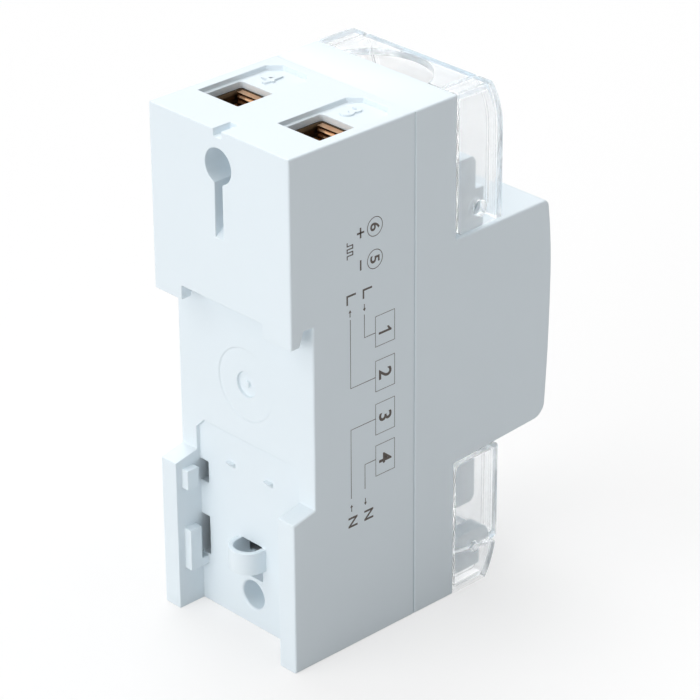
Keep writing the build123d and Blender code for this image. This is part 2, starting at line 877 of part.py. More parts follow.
# Clamp screws, from the blade through the cage's nose to the head behind the funnel
for number, (side, upper) in terminals.items():
    screw_place = (side * terminal_offset, from_end(upper, cage_inset + cage_height / 2))
    with BuildPart() as terminal_screw:
        with BuildSketch(facing_front(blade_front)):
            with Locations(screw_place):
                Circle(screw_radius)
        extrude(amount=head_back - blade_front)
        with BuildSketch(facing_front(head_back)):
            with Locations(screw_place):
                Circle(screw_head_radius)
        extrude(amount=screw_head_height)
        with BuildSketch(facing_front(head_back + screw_head_height)):
            with Locations(screw_place):
                Rectangle(2 * screw_head_radius, screw_slot_width)
                Rectangle(screw_slot_width, screw_head_radius)
        extrude(amount=-screw_slot_depth, mode=Mode.SUBTRACT)
    finish(terminal_screw, f"terminal_screw_{number}")


def blade_sketch(side, upper):
    """Face of one blade, from the bar to just short of the end of the meter."""
    bar_low = low_z(upper, bar_inset, bar_height)
    blade_low = bar_low if upper else blade_inset
    blade_high = height - blade_inset if upper else bar_low + bar_height
    with BuildSketch() as blade:
        with Locations((side * terminal_offset, (blade_low + blade_high) / 2)):
            Rectangle(blade_width, blade_high - blade_low)
    return blade.sketch


def clamping_span(upper):
    """Lowest and highest Z of the toothed part of a blade."""
    outer_end = from_end(upper, blade_inset)
    inner_end = from_end(upper, cage_inset + cage_height)
    return min(outer_end, inner_end), max(outer_end, inner_end)


# Neutral bar: two toothed blades joined below the upper cages
with BuildPart() as neutral_busbar:
    neutral_low = low_z(True, bar_inset, bar_height)
    with BuildSketch(facing_front(blade_back)):
        for side in (-1, 1):
            add(blade_sketch(side, True))
        with Locations((0, neutral_low + bar_height / 2)):
            Rectangle(2 * terminal_offset + blade_width, bar_height)
    extrude(amount=blade_thickness)
    with BuildSketch(Plane.YZ):
        add(tooth_row(blade_back, 1, *clamping_span(True)))
    extrude(amount=half_width, both=True, mode=Mode.SUBTRACT)
finish(neutral_busbar, "neutral_busbar")

# Line blades, which the shunt joins above the lower cages
line_low = low_z(False, bar_inset, bar_height)
for number, side in ((1, -1), (2, 1)):
    outer_edge = terminal_offset + blade_width / 2
    with BuildPart() as line_blade:
        with BuildSketch(facing_front(blade_back)):
            add(blade_sketch(side, False))
            with Locations((side * (outer_edge + shunt_width / 2) / 2, line_low + bar_height / 2)):
                Rectangle(outer_edge - shunt_width / 2, bar_height)
        extrude(amount=blade_thickness)
        with BuildSketch(Plane.YZ):
            add(tooth_row(blade_back, 1, *clamping_span(False)))
        extrude(amount=half_width, both=True, mode=Mode.SUBTRACT)
    finish(line_blade, f"line_blade_{number}")

with BuildPart() as shunt_resistor:
    with BuildSketch(facing_front(blade_back)):
        with Locations((0, line_low + bar_height / 2)):
            Rectangle(shunt_width, bar_height)
    extrude(amount=blade_thickness)
finish(shunt_resistor, "shunt_resistor")

# Supply board on the posts of the rear shell, with a tongue up to the small terminal
with BuildPart() as power_circuit_board:
    with BuildSketch(facing_front(power_board_depth)):
        with Locations((0, (power_board_bottom + power_board_top) / 2)):
            Rectangle(power_board_width, power_board_top - power_board_bottom)
        with Locations((0, (power_board_bottom + pulse_block_top) / 2)):
            Rectangle(power_board_tongue, pulse_block_top - power_board_bottom)
    extrude(amount=power_board_thickness)
finish(power_circuit_board, "power_circuit_board")

with BuildPart() as mains_capacitor:
    with BuildSketch(facing_front(power_board_front)):
        with Locations((capacitor_offset, capacitor_bottom + capacitor_height / 2)):
            RectangleRounded(capacitor_width, capacitor_height, capacitor_corner)
    extrude(amount=main_board_back - capacitor_front_gap - power_board_front)
finish(mains_capacitor, "mains_capacitor")

with BuildPart() as smoothing_capacitor:
    with BuildSketch(facing_front(power_board_front)):
        with Locations((smoothing_offset, smoothing_z)):
            Circle(smoothing_radius)
    extrude(amount=main_board_back - smoothing_front_gap - power_board_front)
    chamfer(smoothing_capacitor.faces().sort_by(Axis.Y)[0].edges(), smoothing_edge)
finish(smoothing_capacitor, "smoothing_capacitor")

with BuildPart() as surge_varistor:
    with BuildSketch(facing_front(power_board_front)):
        with Locations((varistor_offset, varistor_z)):
            Circle(varistor_radius)
    extrude(amount=varistor_thickness)
    chamfer(surge_varistor.faces().sort_by(Axis.Y)[0].edges(), varistor_edge)
finish(surge_varistor, "surge_varistor")

# Pin row from the supply board to the display board
with BuildPart() as board_header:
    pin_places = [((index - (header_pins - 1) / 2) * header_pitch, header_z) for index in range(header_pins)]
    with BuildSketch(facing_front(power_board_front)):
        with Locations((0, header_z)):
            Rectangle(header_pins * header_pitch, header_base)
    extrude(amount=header_base)
    with BuildSketch(facing_front(power_board_front)):
        with Locations(*pin_places):
            Rectangle(header_pin_width, header_pin_width)
    extrude(amount=main_board_back - power_board_front)
finish(board_header, "board_header")

# Two-pole pulse terminal
with BuildPart() as pulse_terminal_block:
    with BuildSketch(facing_front(power_board_front)):
        with Locations((0, pulse_block_top - pulse_block_height / 2)):
            Rectangle(pulse_block_width, pulse_block_height)
    extrude(amount=pulse_block_front - power_board_front)
    with BuildSketch(Plane.XY.offset(pulse_block_top)):
        with Locations(*[(x, at_depth(pulse_entry_depth_from_back)) for x in pulse_x]):
            Rectangle(pulse_entry_size, pulse_entry_size)
    extrude(amount=-pulse_entry_depth, mode=Mode.SUBTRACT)
    with BuildSketch(facing_front(pulse_block_front)):
        with Locations(*[(x, pulse_screw_z) for x in pulse_x]):
            Circle(pulse_screw_radius + pulse_screw_gap)
    extrude(amount=-pulse_screw_length, mode=Mode.SUBTRACT)
finish(pulse_terminal_block, "pulse_terminal_block")

with BuildPart() as pulse_terminal_screws:
    with BuildSketch(facing_front(pulse_block_front)):
        with Locations(*[(x, pulse_screw_z) for x in pulse_x]):
            Circle(pulse_screw_radius)
    extrude(amount=-pulse_screw_length)
    with BuildSketch(facing_front(pulse_block_front)):
        with Locations(*[(x, pulse_screw_z) for x in pulse_x]):
            Rectangle(2 * pulse_screw_radius, pulse_slot_width)
    extrude(amount=-pulse_slot_depth, mode=Mode.SUBTRACT)
finish(pulse_terminal_screws, "pulse_terminal_screws")

# Display board on the bosses of the front shell, with its chip
with BuildPart() as main_circuit_board:
    with BuildSketch(facing_front(main_board_back)):
        with Locations((0, main_board_bottom + main_board_height / 2)):
            Rectangle(main_board_width, main_board_height)
    extrude(amount=main_board_thickness)
finish(main_circuit_board, "main_circuit_board")

with BuildPart() as metering_chip:
    with BuildSketch(facing_front(main_board_back)):
        with Locations((0, display_bottom + chip_rise)):
            Rectangle(chip_size, chip_size)
    extrude(amount=-chip_thickness)
finish(metering_chip, "metering_chip")

# Display stack: light guide between two contact strips, glass, window
glass_width = window_width + 2 * glass_margin
glass_height = window_height + 4 * glass_margin
guide_plate_height = glass_height - 2 * (strip_thickness + strip_gap)
with BuildPart() as lcd_light_guide:
    with BuildSketch(facing_front(glass_back)):
        with Locations((0, window_z)):
            Rectangle(glass_width, guide_plate_height)
    extrude(amount=-guide_plate_thickness)
finish(lcd_light_guide, "lcd_light_guide")

with BuildPart() as lcd_connectors:
    with BuildSketch(facing_front(main_board_front)):
        strip_z = glass_height / 2 - strip_thickness / 2
        with Locations((0, window_z - strip_z), (0, window_z + strip_z)):
            Rectangle(glass_width - 2 * glass_margin, strip_thickness)
    extrude(amount=glass_back - main_board_front)
finish(lcd_connectors, "lcd_connectors")

with BuildPart() as lcd_glass:
    with BuildSketch(facing_front(glass_back)):
        with Locations((0, window_z)):
            Rectangle(glass_width, glass_height)
    extrude(amount=glass_thickness)
finish(lcd_glass, "lcd_glass")

with BuildPart() as display_window:
    with BuildSketch(facing_front(window_seat_depth - window_flange_thickness)):
        with Locations((0, window_z)):
            Rectangle(window_width + 2 * window_flange, window_height + 2 * window_flange)
    extrude(amount=window_flange_thickness)
    with BuildSketch(facing_front(window_seat_depth)):
        with Locations((0, window_z)):
            RectangleRounded(window_width - 2 * fit_gap, window_height - 2 * fit_gap, window_corner)
    extrude(amount=front_wall - window_sunk)
finish(display_window, "display_window")

# Test lamp: a small diode on the board and the clear pipe in front of it
with BuildPart() as pulse_led:
    with BuildSketch(facing_front(main_board_front)):
        with Locations((pipe_offset, pipe_z)):
            Rectangle(led_size, led_size)
    extrude(amount=led_thickness)
finish(pulse_led, "pulse_led")

with BuildPart() as light_pipe:
    with BuildSketch(facing_front(main_board_front + led_thickness + fit_gap)):
        with Locations((pipe_offset, pipe_z)):
            Circle(pipe_radius)
    extrude(amount=depth - pipe_sunk - main_board_front - led_thickness - fit_gap)
finish(light_pipe, "light_pipe")
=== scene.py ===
"""Finish, print and small detail of a two-module energy meter for a 35 mm rail."""
import json
import math

import bmesh
import bpy
from mathutils import Matrix, Vector

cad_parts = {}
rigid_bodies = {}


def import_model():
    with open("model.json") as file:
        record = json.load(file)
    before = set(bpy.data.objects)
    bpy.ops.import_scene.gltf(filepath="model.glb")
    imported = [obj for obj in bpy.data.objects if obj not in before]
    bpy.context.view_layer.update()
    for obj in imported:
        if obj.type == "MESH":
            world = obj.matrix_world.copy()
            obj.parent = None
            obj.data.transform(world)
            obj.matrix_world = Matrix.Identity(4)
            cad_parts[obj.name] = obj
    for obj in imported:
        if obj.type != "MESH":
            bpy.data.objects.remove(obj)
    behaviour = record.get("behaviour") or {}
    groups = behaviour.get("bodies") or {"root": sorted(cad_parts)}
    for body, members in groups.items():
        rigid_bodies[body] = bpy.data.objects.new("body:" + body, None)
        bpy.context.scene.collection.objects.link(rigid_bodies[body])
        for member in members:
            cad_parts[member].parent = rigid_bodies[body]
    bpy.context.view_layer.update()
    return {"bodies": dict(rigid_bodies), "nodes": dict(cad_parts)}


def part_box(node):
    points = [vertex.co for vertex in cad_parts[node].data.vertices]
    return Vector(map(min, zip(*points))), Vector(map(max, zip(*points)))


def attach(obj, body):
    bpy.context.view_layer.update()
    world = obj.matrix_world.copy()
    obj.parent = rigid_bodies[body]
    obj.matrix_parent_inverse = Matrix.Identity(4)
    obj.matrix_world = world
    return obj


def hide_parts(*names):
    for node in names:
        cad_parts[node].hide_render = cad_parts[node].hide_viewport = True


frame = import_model()

bl_info = {
    "name": "Energy Meter Finish",
    "version": (1, 0, 0),
    "blender": (4, 5, 0),
    "location": "3D View > Sidebar > Meter",
    "description": "Dresses the two-module energy meter with plastics, metals, print and display",
    "category": "Object",
}

MM = 0.001
NODES = frame["nodes"]
BODY = sorted(frame["bodies"])[0]

# Places that the frame gives
SHELL_LOW, SHELL_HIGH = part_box("rear_housing")
SIDE_X = SHELL_LOW.x
TOP_Z = SHELL_HIGH.z

# Sizes of the shells that the frame doesn't name: the parting line, and the entries with their recess
SEAM_Y = 2.7 * MM
RECESS_DEPTH = 0.95 * MM
ENTRY_BACK = 22.9 * MM
ENTRY_CORNER = 0.6 * MM

# A corner within this of a place counts as lying there
NEAR = 0.01 * MM

# Turn that lays a shape's height along Y, towards the rail
TO_REAR = (math.radians(-90), 0, 0)

CAGES = [f"terminal_cage_{number}" for number in (1, 2, 3, 4)]
SCREWS = [f"terminal_screw_{number}" for number in (1, 2, 3, 4)]


def linear(hex_colour):
    """A six-digit sRGB colour as linear red, green, blue and an alpha of 1."""
    channels = [int(hex_colour[place:place + 2], 16) / 255 for place in (1, 3, 5)]
    return [c / 12.92 if c <= 0.04045 else ((c + 0.055) / 1.055) ** 2.4 for c in channels] + [1.0]


class MeterLook(bpy.types.PropertyGroup):
    """Colours and fine sizes of the meter."""

    housing_colour: bpy.props.FloatVectorProperty(
        name="Housing Colour", description="Colour of both moulded shells", subtype="COLOR",
        size=4, min=0, max=1, default=linear("#E4EEF4"))
    cover_colour: bpy.props.FloatVectorProperty(
        name="Cover Tint", description="Tint of the clear covers", subtype="COLOR",
        size=4, min=0, max=1, default=linear("#C3DCEA"))
    ink_colour: bpy.props.FloatVectorProperty(
        name="Ink Colour", description="Colour of the pad print on the side", subtype="COLOR",
        size=4, min=0, max=1, default=linear("#574F4A"))
    shell_edge: bpy.props.FloatProperty(
        name="Shell Edge", description="Width of the soft edge of the shells", unit="LENGTH",
        min=0, default=0.16 * MM)
    cover_edge: bpy.props.FloatProperty(
        name="Cover Edge", description="Width of the soft edge of the clear covers", unit="LENGTH",
        min=0, default=0.2 * MM)
    line_width: bpy.props.FloatProperty(
        name="Line Width", description="Width of a printed line", unit="LENGTH",
        min=0, default=0.13 * MM)
    ink_height: bpy.props.FloatProperty(
        name="Ink Height", description="Thickness of the printed ink", unit="LENGTH",
        min=0, default=0.02 * MM)
    relief: bpy.props.FloatProperty(
        name="Relief", description="Height of the moulded terminal numbers", unit="LENGTH",
        min=0, default=0.32 * MM)


class MeterStage(bpy.types.PropertyGroup):
    """Camera and light round the meter."""

    azimuth: bpy.props.FloatProperty(
        name="Azimuth", description="Angle of the camera round the meter", subtype="ANGLE",
        default=math.radians(226.55))
    elevation: bpy.props.FloatProperty(
        name="Elevation", description="Angle of the camera above the floor", subtype="ANGLE",
        default=math.radians(27.137))
    roll: bpy.props.FloatProperty(
        name="Roll", description="Turn of the camera about its line of sight", subtype="ANGLE",
        default=math.radians(-0.358))
    distance: bpy.props.FloatProperty(
        name="Distance", description="From the camera to the point it looks at", unit="LENGTH",
        default=601.65 * MM)
    target: bpy.props.FloatVectorProperty(
        name="Target", description="Point that the camera looks at", subtype="XYZ", unit="LENGTH",
        default=(-1.053 * MM, 2.685 * MM, 48.291 * MM))
    lens: bpy.props.FloatProperty(
        name="Lens", description="Focal length on a 36 mm wide sensor, in millimetres", default=171.73)
    main_strength: bpy.props.FloatProperty(
        name="Main Strength", description="Strength of the soft light on the rail side", default=1.97)
    top_strength: bpy.props.FloatProperty(
        name="Top Strength", description="Strength of the soft light from above", default=1.28)
    side_strength: bpy.props.FloatProperty(
        name="Side Strength", description="Strength of the soft light from the far side", default=0.82)
    key_strength: bpy.props.FloatProperty(
        name="Key Strength", description="Strength of the light that throws the shadow", default=0.56)
    room_light: bpy.props.FloatProperty(
        name="Room Light", description="Brightness of the even light from all round", default=0.264)
    white_in_clear: bpy.props.FloatProperty(
        name="White In Clear", description="Brightness of the white surroundings seen through clear pieces",
        default=1.3)


def add_node(tree, kind, inputs=None, **settings):
    """Add a node, give its sockets values or links from other nodes' sockets, and set its options."""
    node = tree.nodes.new(kind)
    for option, value in settings.items():
        setattr(node, option, value)
    for key, value in (inputs or {}).items():
        if isinstance(value, bpy.types.NodeSocket):
            tree.links.new(value, node.inputs[key])
        else:
            node.inputs[key].default_value = value
    return node


def largest(tree, values):
    """The largest of several sockets or numbers, as a socket."""
    top = values[0]
    for value in values[1:]:
        top = add_node(tree, "ShaderNodeMath", {0: top, 1: value}, operation="MAXIMUM").outputs["Value"]
    return top


def new_material(name):
    """An empty node material and its node tree."""
    material = bpy.data.materials.new(name)
    material.use_nodes = True
    material.node_tree.nodes.clear()
    return material, material.node_tree


def shade(colour, factor):
    """A linear colour made darker or lighter by a factor, with an alpha of 1."""
    return [min(1.0, c * factor) for c in colour[:3]] + [1.0]


def mottle(tree, size_mm, detail):
    """Noise with patches of a given size, fixed to the object, as a socket."""
    place = add_node(tree, "ShaderNodeTexCoord").outputs["Object"]
    noise = add_node(
        tree, "ShaderNodeTexNoise", {"Vector": place, "Scale": 1 / (size_mm * MM), "Detail": detail})
    return noise.outputs["Fac"]


def varied_surface(tree, tint, grain, colours, sheen, relief, relief_mm, finish):
    """Close a material: colour runs between two with the tint pattern, sheen and relief with the grain."""
    tone = add_node(
        tree, "ShaderNodeMix", {"Factor": tint, "A": colours[0], "B": colours[1]}, data_type="RGBA")
    gloss = add_node(
        tree, "ShaderNodeMapRange", {"Value": grain, "To Min": sheen[0], "To Max": sheen[1]})
    bump = add_node(
        tree, "ShaderNodeBump", {"Height": grain, "Strength": relief, "Distance": relief_mm * MM})
    surface = add_node(
        tree, "ShaderNodeBsdfPrincipled",
        {"Base Color": tone.outputs["Result"], "Roughness": gloss.outputs["Result"],
         "Normal": bump.outputs["Normal"], **finish})
    add_node(tree, "ShaderNodeOutputMaterial", {"Surface": surface.outputs["BSDF"]})


def moulded_shell(colour):
    """Injection-moulded ABS blend in a cool white: even satin with a fine spark-eroded grain."""
    material, tree = new_material("moulded_abs_cool_white")
    grain_mm, flow_mm = 0.28, 14.0
    flow = mottle(tree, flow_mm, detail=2.0)
    grain = mottle(tree, grain_mm, detail=3.0)
    colours = (shade(colour, 0.985), shade(colour, 1.01))
    varied_surface(tree, flow, grain, colours, (0.40, 0.50), 0.12, 0.012, {"IOR": 1.53})
    return material


def clear_polycarbonate(name, colour, roughness):
    """Polished clear polycarbonate: sharp reflections, bluish where light runs along the wall.

    Light that has crossed many faces goes straight on, so that no edge turns black."""
    material, tree = new_material(name)
    ripple_mm, deepest, straight_share, tint_density = 9.0, 3.0, 0.15, 25.0
    ripple = mottle(tree, ripple_mm, detail=1.0)
    bump = add_node(
        tree, "ShaderNodeBump", {"Height": ripple, "Strength": 0.03, "Distance": 0.05 * MM})
    body = add_node(
        tree, "ShaderNodeBsdfPrincipled",
        {"Base Color": (1, 1, 1, 1), "Roughness": roughness, "IOR": 1.585,
         "Transmission Weight": 1.0, "Normal": bump.outputs["Normal"]})
    straight = add_node(tree, "ShaderNodeBsdfTransparent", {"Color": (1, 1, 1, 1)})
    path = add_node(tree, "ShaderNodeLightPath").outputs
    deep = add_node(tree, "ShaderNodeMath", {0: path["Ray Depth"], 1: deepest}, operation="GREATER_THAN")
    share = largest(
        tree, [path["Is Shadow Ray"], path["Is Diffuse Ray"], deep.outputs["Value"], straight_share])
    surface = add_node(
        tree, "ShaderNodeMixShader",
        {0: share, 1: body.outputs["BSDF"], 2: straight.outputs["BSDF"]})
    tint = add_node(tree, "ShaderNodeVolumeAbsorption", {"Color": colour, "Density": tint_density})
    add_node(
        tree, "ShaderNodeOutputMaterial",
        {"Surface": surface.outputs["Shader"], "Volume": tint.outputs["Volume"]})
    return material


def rolled_metal(name, light, dark, roughness, streak_mm, tarnish_mm, axis):
    """Rolled or drawn metal: fine streaks along one axis and a slow change of tarnish."""
    material, tree = new_material(name)
    stretch = 14.0
    place = add_node(tree, "ShaderNodeTexCoord").outputs["Object"]
    scale = [1 / (streak_mm * MM)] * 3
    scale[axis] /= stretch
    lines = add_node(tree, "ShaderNodeMapping", {"Vector": place, "Scale": scale})
    streaks = add_node(
        tree, "ShaderNodeTexNoise", {"Vector": lines.outputs["Vector"], "Scale": 1.0, "Detail": 3.0})
    tarnish = mottle(tree, tarnish_mm, detail=3.0)
    sheen = (roughness * 0.75, roughness * 1.3)
    varied_surface(
        tree, tarnish, streaks.outputs["Fac"], (linear(dark), linear(light)), sheen, 0.1, 0.02,
        {"Metallic": 1.0})
    return material


def plain_moulding(name, light, dark, roughness, speckle_mm, ior=1.5, coat=0.0, metallic=0.0):
    """Moulded, dipped or pressed part with a faint speckle in colour, sheen and relief."""
    material, tree = new_material(name)
    speckle = mottle(tree, speckle_mm, detail=4.0)
    sheen = (roughness * 0.85, roughness * 1.15)
    varied_surface(
        tree, speckle, speckle, (linear(dark), linear(light)), sheen, 0.15, 0.02,
        {"IOR": ior, "Coat Weight": coat, "Metallic": metallic})
    return material


def board_laminate():
    """Glass-epoxy board under green solder mask: glossy, with tracks showing through as lighter bands."""
    material, tree = new_material("solder_mask_on_epoxy_board")
    track_mm = 1.6
    place = add_node(tree, "ShaderNodeTexCoord").outputs["Object"]
    tracks = add_node(
        tree, "ShaderNodeTexBrick",
        {"Vector": place, "Scale": 1 / (track_mm * MM),
         "Color1": linear("#1F6B3C"), "Color2": linear("#1B5F36"), "Mortar": linear("#14492A"),
         "Mortar Size": 0.12, "Brick Width": 3.0, "Row Height": 0.5})
    bump = add_node(
        tree, "ShaderNodeBump",
        {"Height": tracks.outputs["Fac"], "Strength": 0.3, "Distance": 0.03 * MM}, invert=True)
    surface = add_node(
        tree, "ShaderNodeBsdfPrincipled",
        {"Base Color": tracks.outputs["Color"], "Roughness": 0.28, "Normal": bump.outputs["Normal"],
         "IOR": 1.52})
    add_node(tree, "ShaderNodeOutputMaterial", {"Surface": surface.outputs["BSDF"]})
    return material


def printing_ink(colour):
    """Pad-printed two-part ink: matt, slightly uneven where the pad left less of it."""
    material, tree = new_material("pad_print_ink_dark_grey")
    wear_mm = 0.6
    wear = mottle(tree, wear_mm, detail=3.0)
    tone = add_node(
        tree, "ShaderNodeMix",
        {"Factor": wear, "A": shade(colour, 0.8), "B": shade(colour, 1.25)}, data_type="RGBA")
    surface = add_node(
        tree, "ShaderNodeBsdfPrincipled",
        {"Base Color": tone.outputs["Result"], "Roughness": 0.6})
    add_node(tree, "ShaderNodeOutputMaterial", {"Surface": surface.outputs["BSDF"]})
    return material


def keep(mesh, name, material):
    """A finished piece at the origin from a mesh in its place, riding on the body."""
    mesh.name = name
    mesh.materials.clear()
    mesh.materials.append(material)
    piece = bpy.data.objects.new(name, mesh)
    bpy.context.scene.collection.objects.link(piece)
    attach(piece, BODY)
    return piece


def dress(names, material):
    """Give the frame's own nodes a material."""
    for name in names:
        if name not in NODES:
            raise RuntimeError(f"the frame has no piece named {name}")
        NODES[name].data.materials.clear()
        NODES[name].data.materials.append(material)


def hold(name, data):
    """A working object that carries a mesh or text while it is evaluated, and is removed after that."""
    holder = bpy.data.objects.new(name, data)
    bpy.context.scene.collection.objects.link(holder)
    return holder


def evaluated_mesh(holder):
    """The plain mesh that an object's modifiers or text give."""
    bpy.context.view_layer.update()
    return bpy.data.meshes.new_from_object(holder.evaluated_get(bpy.context.evaluated_depsgraph_get()))


def at_seam(place):
    """Whether a corner lies on the parting line of the shells, where they touch."""
    return abs(place.y - SEAM_Y) < NEAR


def at_entry_back(place):
    """Whether a corner lies where an entry's round corner runs out into the back of its recess."""
    level = min(place.z, TOP_Z - place.z)
    return place.y > ENTRY_BACK - ENTRY_CORNER - NEAR and abs(level - RECESS_DEPTH) < NEAR


def relay_flats(mesh):
    """Fill every flat patch again between its outlines, where the rounding folded a slim triangle over."""
    flat, same_level = math.radians(0.2), 0.005 * MM
    work = bmesh.new()
    work.from_mesh(mesh)
    bmesh.ops.triangulate(work, faces=work.faces)
    work.normal_update()
    patches, seen = [], set()
    for first in sorted(work.faces, key=lambda face: -face.calc_area()):
        if first in seen:
            continue
        seen.add(first)
        patch, open_faces = [first], [first]
        while open_faces:
            for side in open_faces.pop().edges:
                for face in side.link_faces:
                    turn = face.normal.angle(first.normal, 0.0)
                    level = abs((face.verts[0].co - first.verts[0].co).dot(first.normal)) < same_level
                    if face not in seen and level and (turn < flat or turn > math.pi - flat):
                        seen.add(face)
                        patch.append(face)
                        open_faces.append(face)
        if any(face.normal.dot(first.normal) < 0 for face in patch):
            patches.append((patch, first.normal.copy()))
    for patch, normal in patches:
        inside = set(patch)
        outline = [
            side for face in patch for side in face.edges
            if sum(near in inside for near in side.link_faces) == 1]
        bmesh.ops.delete(work, geom=patch, context="FACES")
        outline = [side for side in outline if side.is_valid]
        bmesh.ops.triangle_fill(work, use_beauty=True, use_dissolve=False, edges=outline, normal=normal)
    work.to_mesh(mesh)
    work.free()


def soft_edged(node, name, material, edge, segments, crisp=None):
    """A joined copy of a node with rounded edges and smooth round faces, in the node's place.

    Edges stay crisp where crisp, given a corner's place, says so of both ends."""
    sharp, coplanar, weld = math.radians(32), math.radians(0.6), 0.002 * MM
    mesh = NODES[node].data.copy()
    work = bmesh.new()
    work.from_mesh(mesh)
    bmesh.ops.remove_doubles(work, verts=work.verts, dist=weld)
    bmesh.ops.dissolve_limit(work, angle_limit=coplanar, verts=work.verts, edges=work.edges)
    bmesh.ops.triangulate(work, faces=work.faces, ngon_method="BEAUTY")
    weight = work.edges.layers.float.new("bevel_weight_edge")
    for side in work.edges:
        kept = crisp is not None and all(crisp(corner.co) for corner in side.verts)
        side[weight] = 1.0 if side.calc_face_angle(0.0) > sharp and not kept else 0.0
    work.to_mesh(mesh)
    work.free()
    holder = hold(name + "_source", mesh)
    bevel = holder.modifiers.new("edge", "BEVEL")
    bevel.width = edge
    bevel.segments = segments
    bevel.limit_method = "WEIGHT"
    bevel.use_clamp_overlap = False
    bevel.loop_slide = False
    bevel.miter_outer = "MITER_ARC"
    rounded = evaluated_mesh(holder)
    holder.modifiers.clear()
    relay_flats(rounded)
    rounded.shade_smooth()
    rounded.set_sharp_from_angle(angle=sharp)
    holder.data = rounded
    flat = holder.modifiers.new("flat", "WEIGHTED_NORMAL")
    flat.weight = 100
    flat.keep_sharp = True
    evened = evaluated_mesh(holder)
    bpy.data.objects.remove(holder)
    piece = keep(evened, name, material)
    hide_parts(node)
    return piece


def new_tree(name, sizes, counts=()):
    """An empty geometry tree with named inputs, sizes in metres and counts, and its input sockets."""
    tree = bpy.data.node_groups.new(name, "GeometryNodeTree")
    tree.interface.new_socket("Geometry", in_out="OUTPUT", socket_type="NodeSocketGeometry")
    tree.interface.new_socket("Geometry", in_out="INPUT", socket_type="NodeSocketGeometry")
    for labels, kind in ((sizes, "NodeSocketFloat"), (counts, "NodeSocketInt")):
        for label in labels:
            tree.interface.new_socket(label, in_out="INPUT", socket_type=kind)
    return tree, add_node(tree, "NodeGroupInput").outputs


def centred_row(tree, count, pitch, along, aside=None):
    """Points in a row along X or Y with the origin at its middle, or set aside from the origin."""
    last = add_node(tree, "ShaderNodeMath", {0: count, 1: 1.0}, operation="SUBTRACT")
    run = add_node(tree, "ShaderNodeMath", {0: last.outputs["Value"], 1: pitch}, operation="MULTIPLY")
    half = add_node(tree, "ShaderNodeMath", {0: run.outputs["Value"], 1: -0.5}, operation="MULTIPLY")
    start = add_node(tree, "ShaderNodeCombineXYZ", {along: half.outputs["Value"], **(aside or {})})
    step = add_node(tree, "ShaderNodeCombineXYZ", {along: pitch})
    line = add_node(
        tree, "GeometryNodeMeshLine",
        {"Count": count, "Start Location": start.outputs["Vector"], "Offset": step.outputs["Vector"]},
        mode="OFFSET")
    return line.outputs["Mesh"]


def end_tree(tree, geometry, material):
    """Close a tree with Realize Instances and Set Material."""
    real = add_node(tree, "GeometryNodeRealizeInstances", {"Geometry": geometry})
    done = add_node(
        tree, "GeometryNodeSetMaterial", {"Geometry": real.outputs["Geometry"], "Material": material})
    add_node(tree, "NodeGroupOutput", {"Geometry": done.outputs["Geometry"]})


def end_with_copies(tree, points, instance, material, turn=(0, 0, 0)):
    """Close a tree with a turned copy of one shape at every point."""
    placed = add_node(
        tree, "GeometryNodeInstanceOnPoints", {"Points": points, "Instance": instance, "Rotation": turn})
    end_tree(tree, placed.outputs["Instances"], material)


def points_mesh(places, edges=()):
    """Points, with edges between them where given, for a tree to work on."""
    mesh = bpy.data.meshes.new("points")
    mesh.from_pydata(places, edges, [])
    return mesh


def run_tree(tree, source, values, name, material):
    """Run a geometry tree on a mesh and keep the result as a plain mesh piece."""
    holder = hold(name + "_source", source)
    modifier = holder.modifiers.new("build", "NODES")
    modifier.node_group = tree
    for item in tree.interface.items_tree:
        if item.item_type == "SOCKET" and item.in_out == "INPUT" and item.name in values:
            modifier[item.identifier] = values[item.name]
    mesh = evaluated_mesh(holder)
    bpy.data.objects.remove(holder)
    if not mesh.polygons:
        raise RuntimeError(f"{name} came out empty")
    return keep(mesh, name, material)


def glyph_mesh(text, height, thickness, weight):
    """Characters as a closed mesh round the origin in XY, of a given height, standing on XY."""
    curve = bpy.data.curves.new("glyph", "FONT")
    curve.body = text
    curve.resolution_u = 6
    curve.offset = weight
    holder = hold("glyph", curve)
    bpy.context.view_layer.update()
    tall = holder.dimensions.y
    curve.extrude = 0.5
    mesh = evaluated_mesh(holder)
    bpy.data.objects.remove(holder)
    mesh.transform(Matrix.Diagonal((height / tall, height / tall, thickness, 1)))
    xs = [corner.co.x for corner in mesh.vertices]
    ys = [corner.co.y for corner in mesh.vertices]
    lift = Vector((-(min(xs) + max(xs)) / 2, -(min(ys) + max(ys)) / 2, thickness / 2))
    mesh.transform(Matrix.Translation(lift))
    return mesh


def slab(outline, high):
    """A flat closed outline in mm as a closed mesh of a given height, standing on XY."""
    work = bmesh.new()
    face = work.faces.new([work.verts.new((x * MM, y * MM, 0)) for x, y in outline])
    grown = bmesh.ops.extrude_face_region(work, geom=[face])
    top = [item for item in grown["geom"] if isinstance(item, bmesh.types.BMVert)]
    bmesh.ops.translate(work, verts=top, vec=(0, 0, high))
    bmesh.ops.recalc_face_normals(work, faces=work.faces)
    mesh = bpy.data.meshes.new("slab")
    work.to_mesh(mesh)
    work.free()
    return mesh


def join_meshes(meshes, name):
    """Several meshes as one."""
    work = bmesh.new()
    for mesh in meshes:
        work.from_mesh(mesh)
        bpy.data.meshes.remove(mesh)
    joined = bpy.data.meshes.new(name)
    work.to_mesh(joined)
    work.free()
    return joined


def on_face(origin, right, up):
    """Matrix that lays XY on a face at an origin, with X along right and Y along up."""
    right, up = Vector(right), Vector(up)
    out = right.cross(up)
    turn = Matrix((right, up, out)).transposed().to_4x4()
    return Matrix.Translation(origin) @ turn


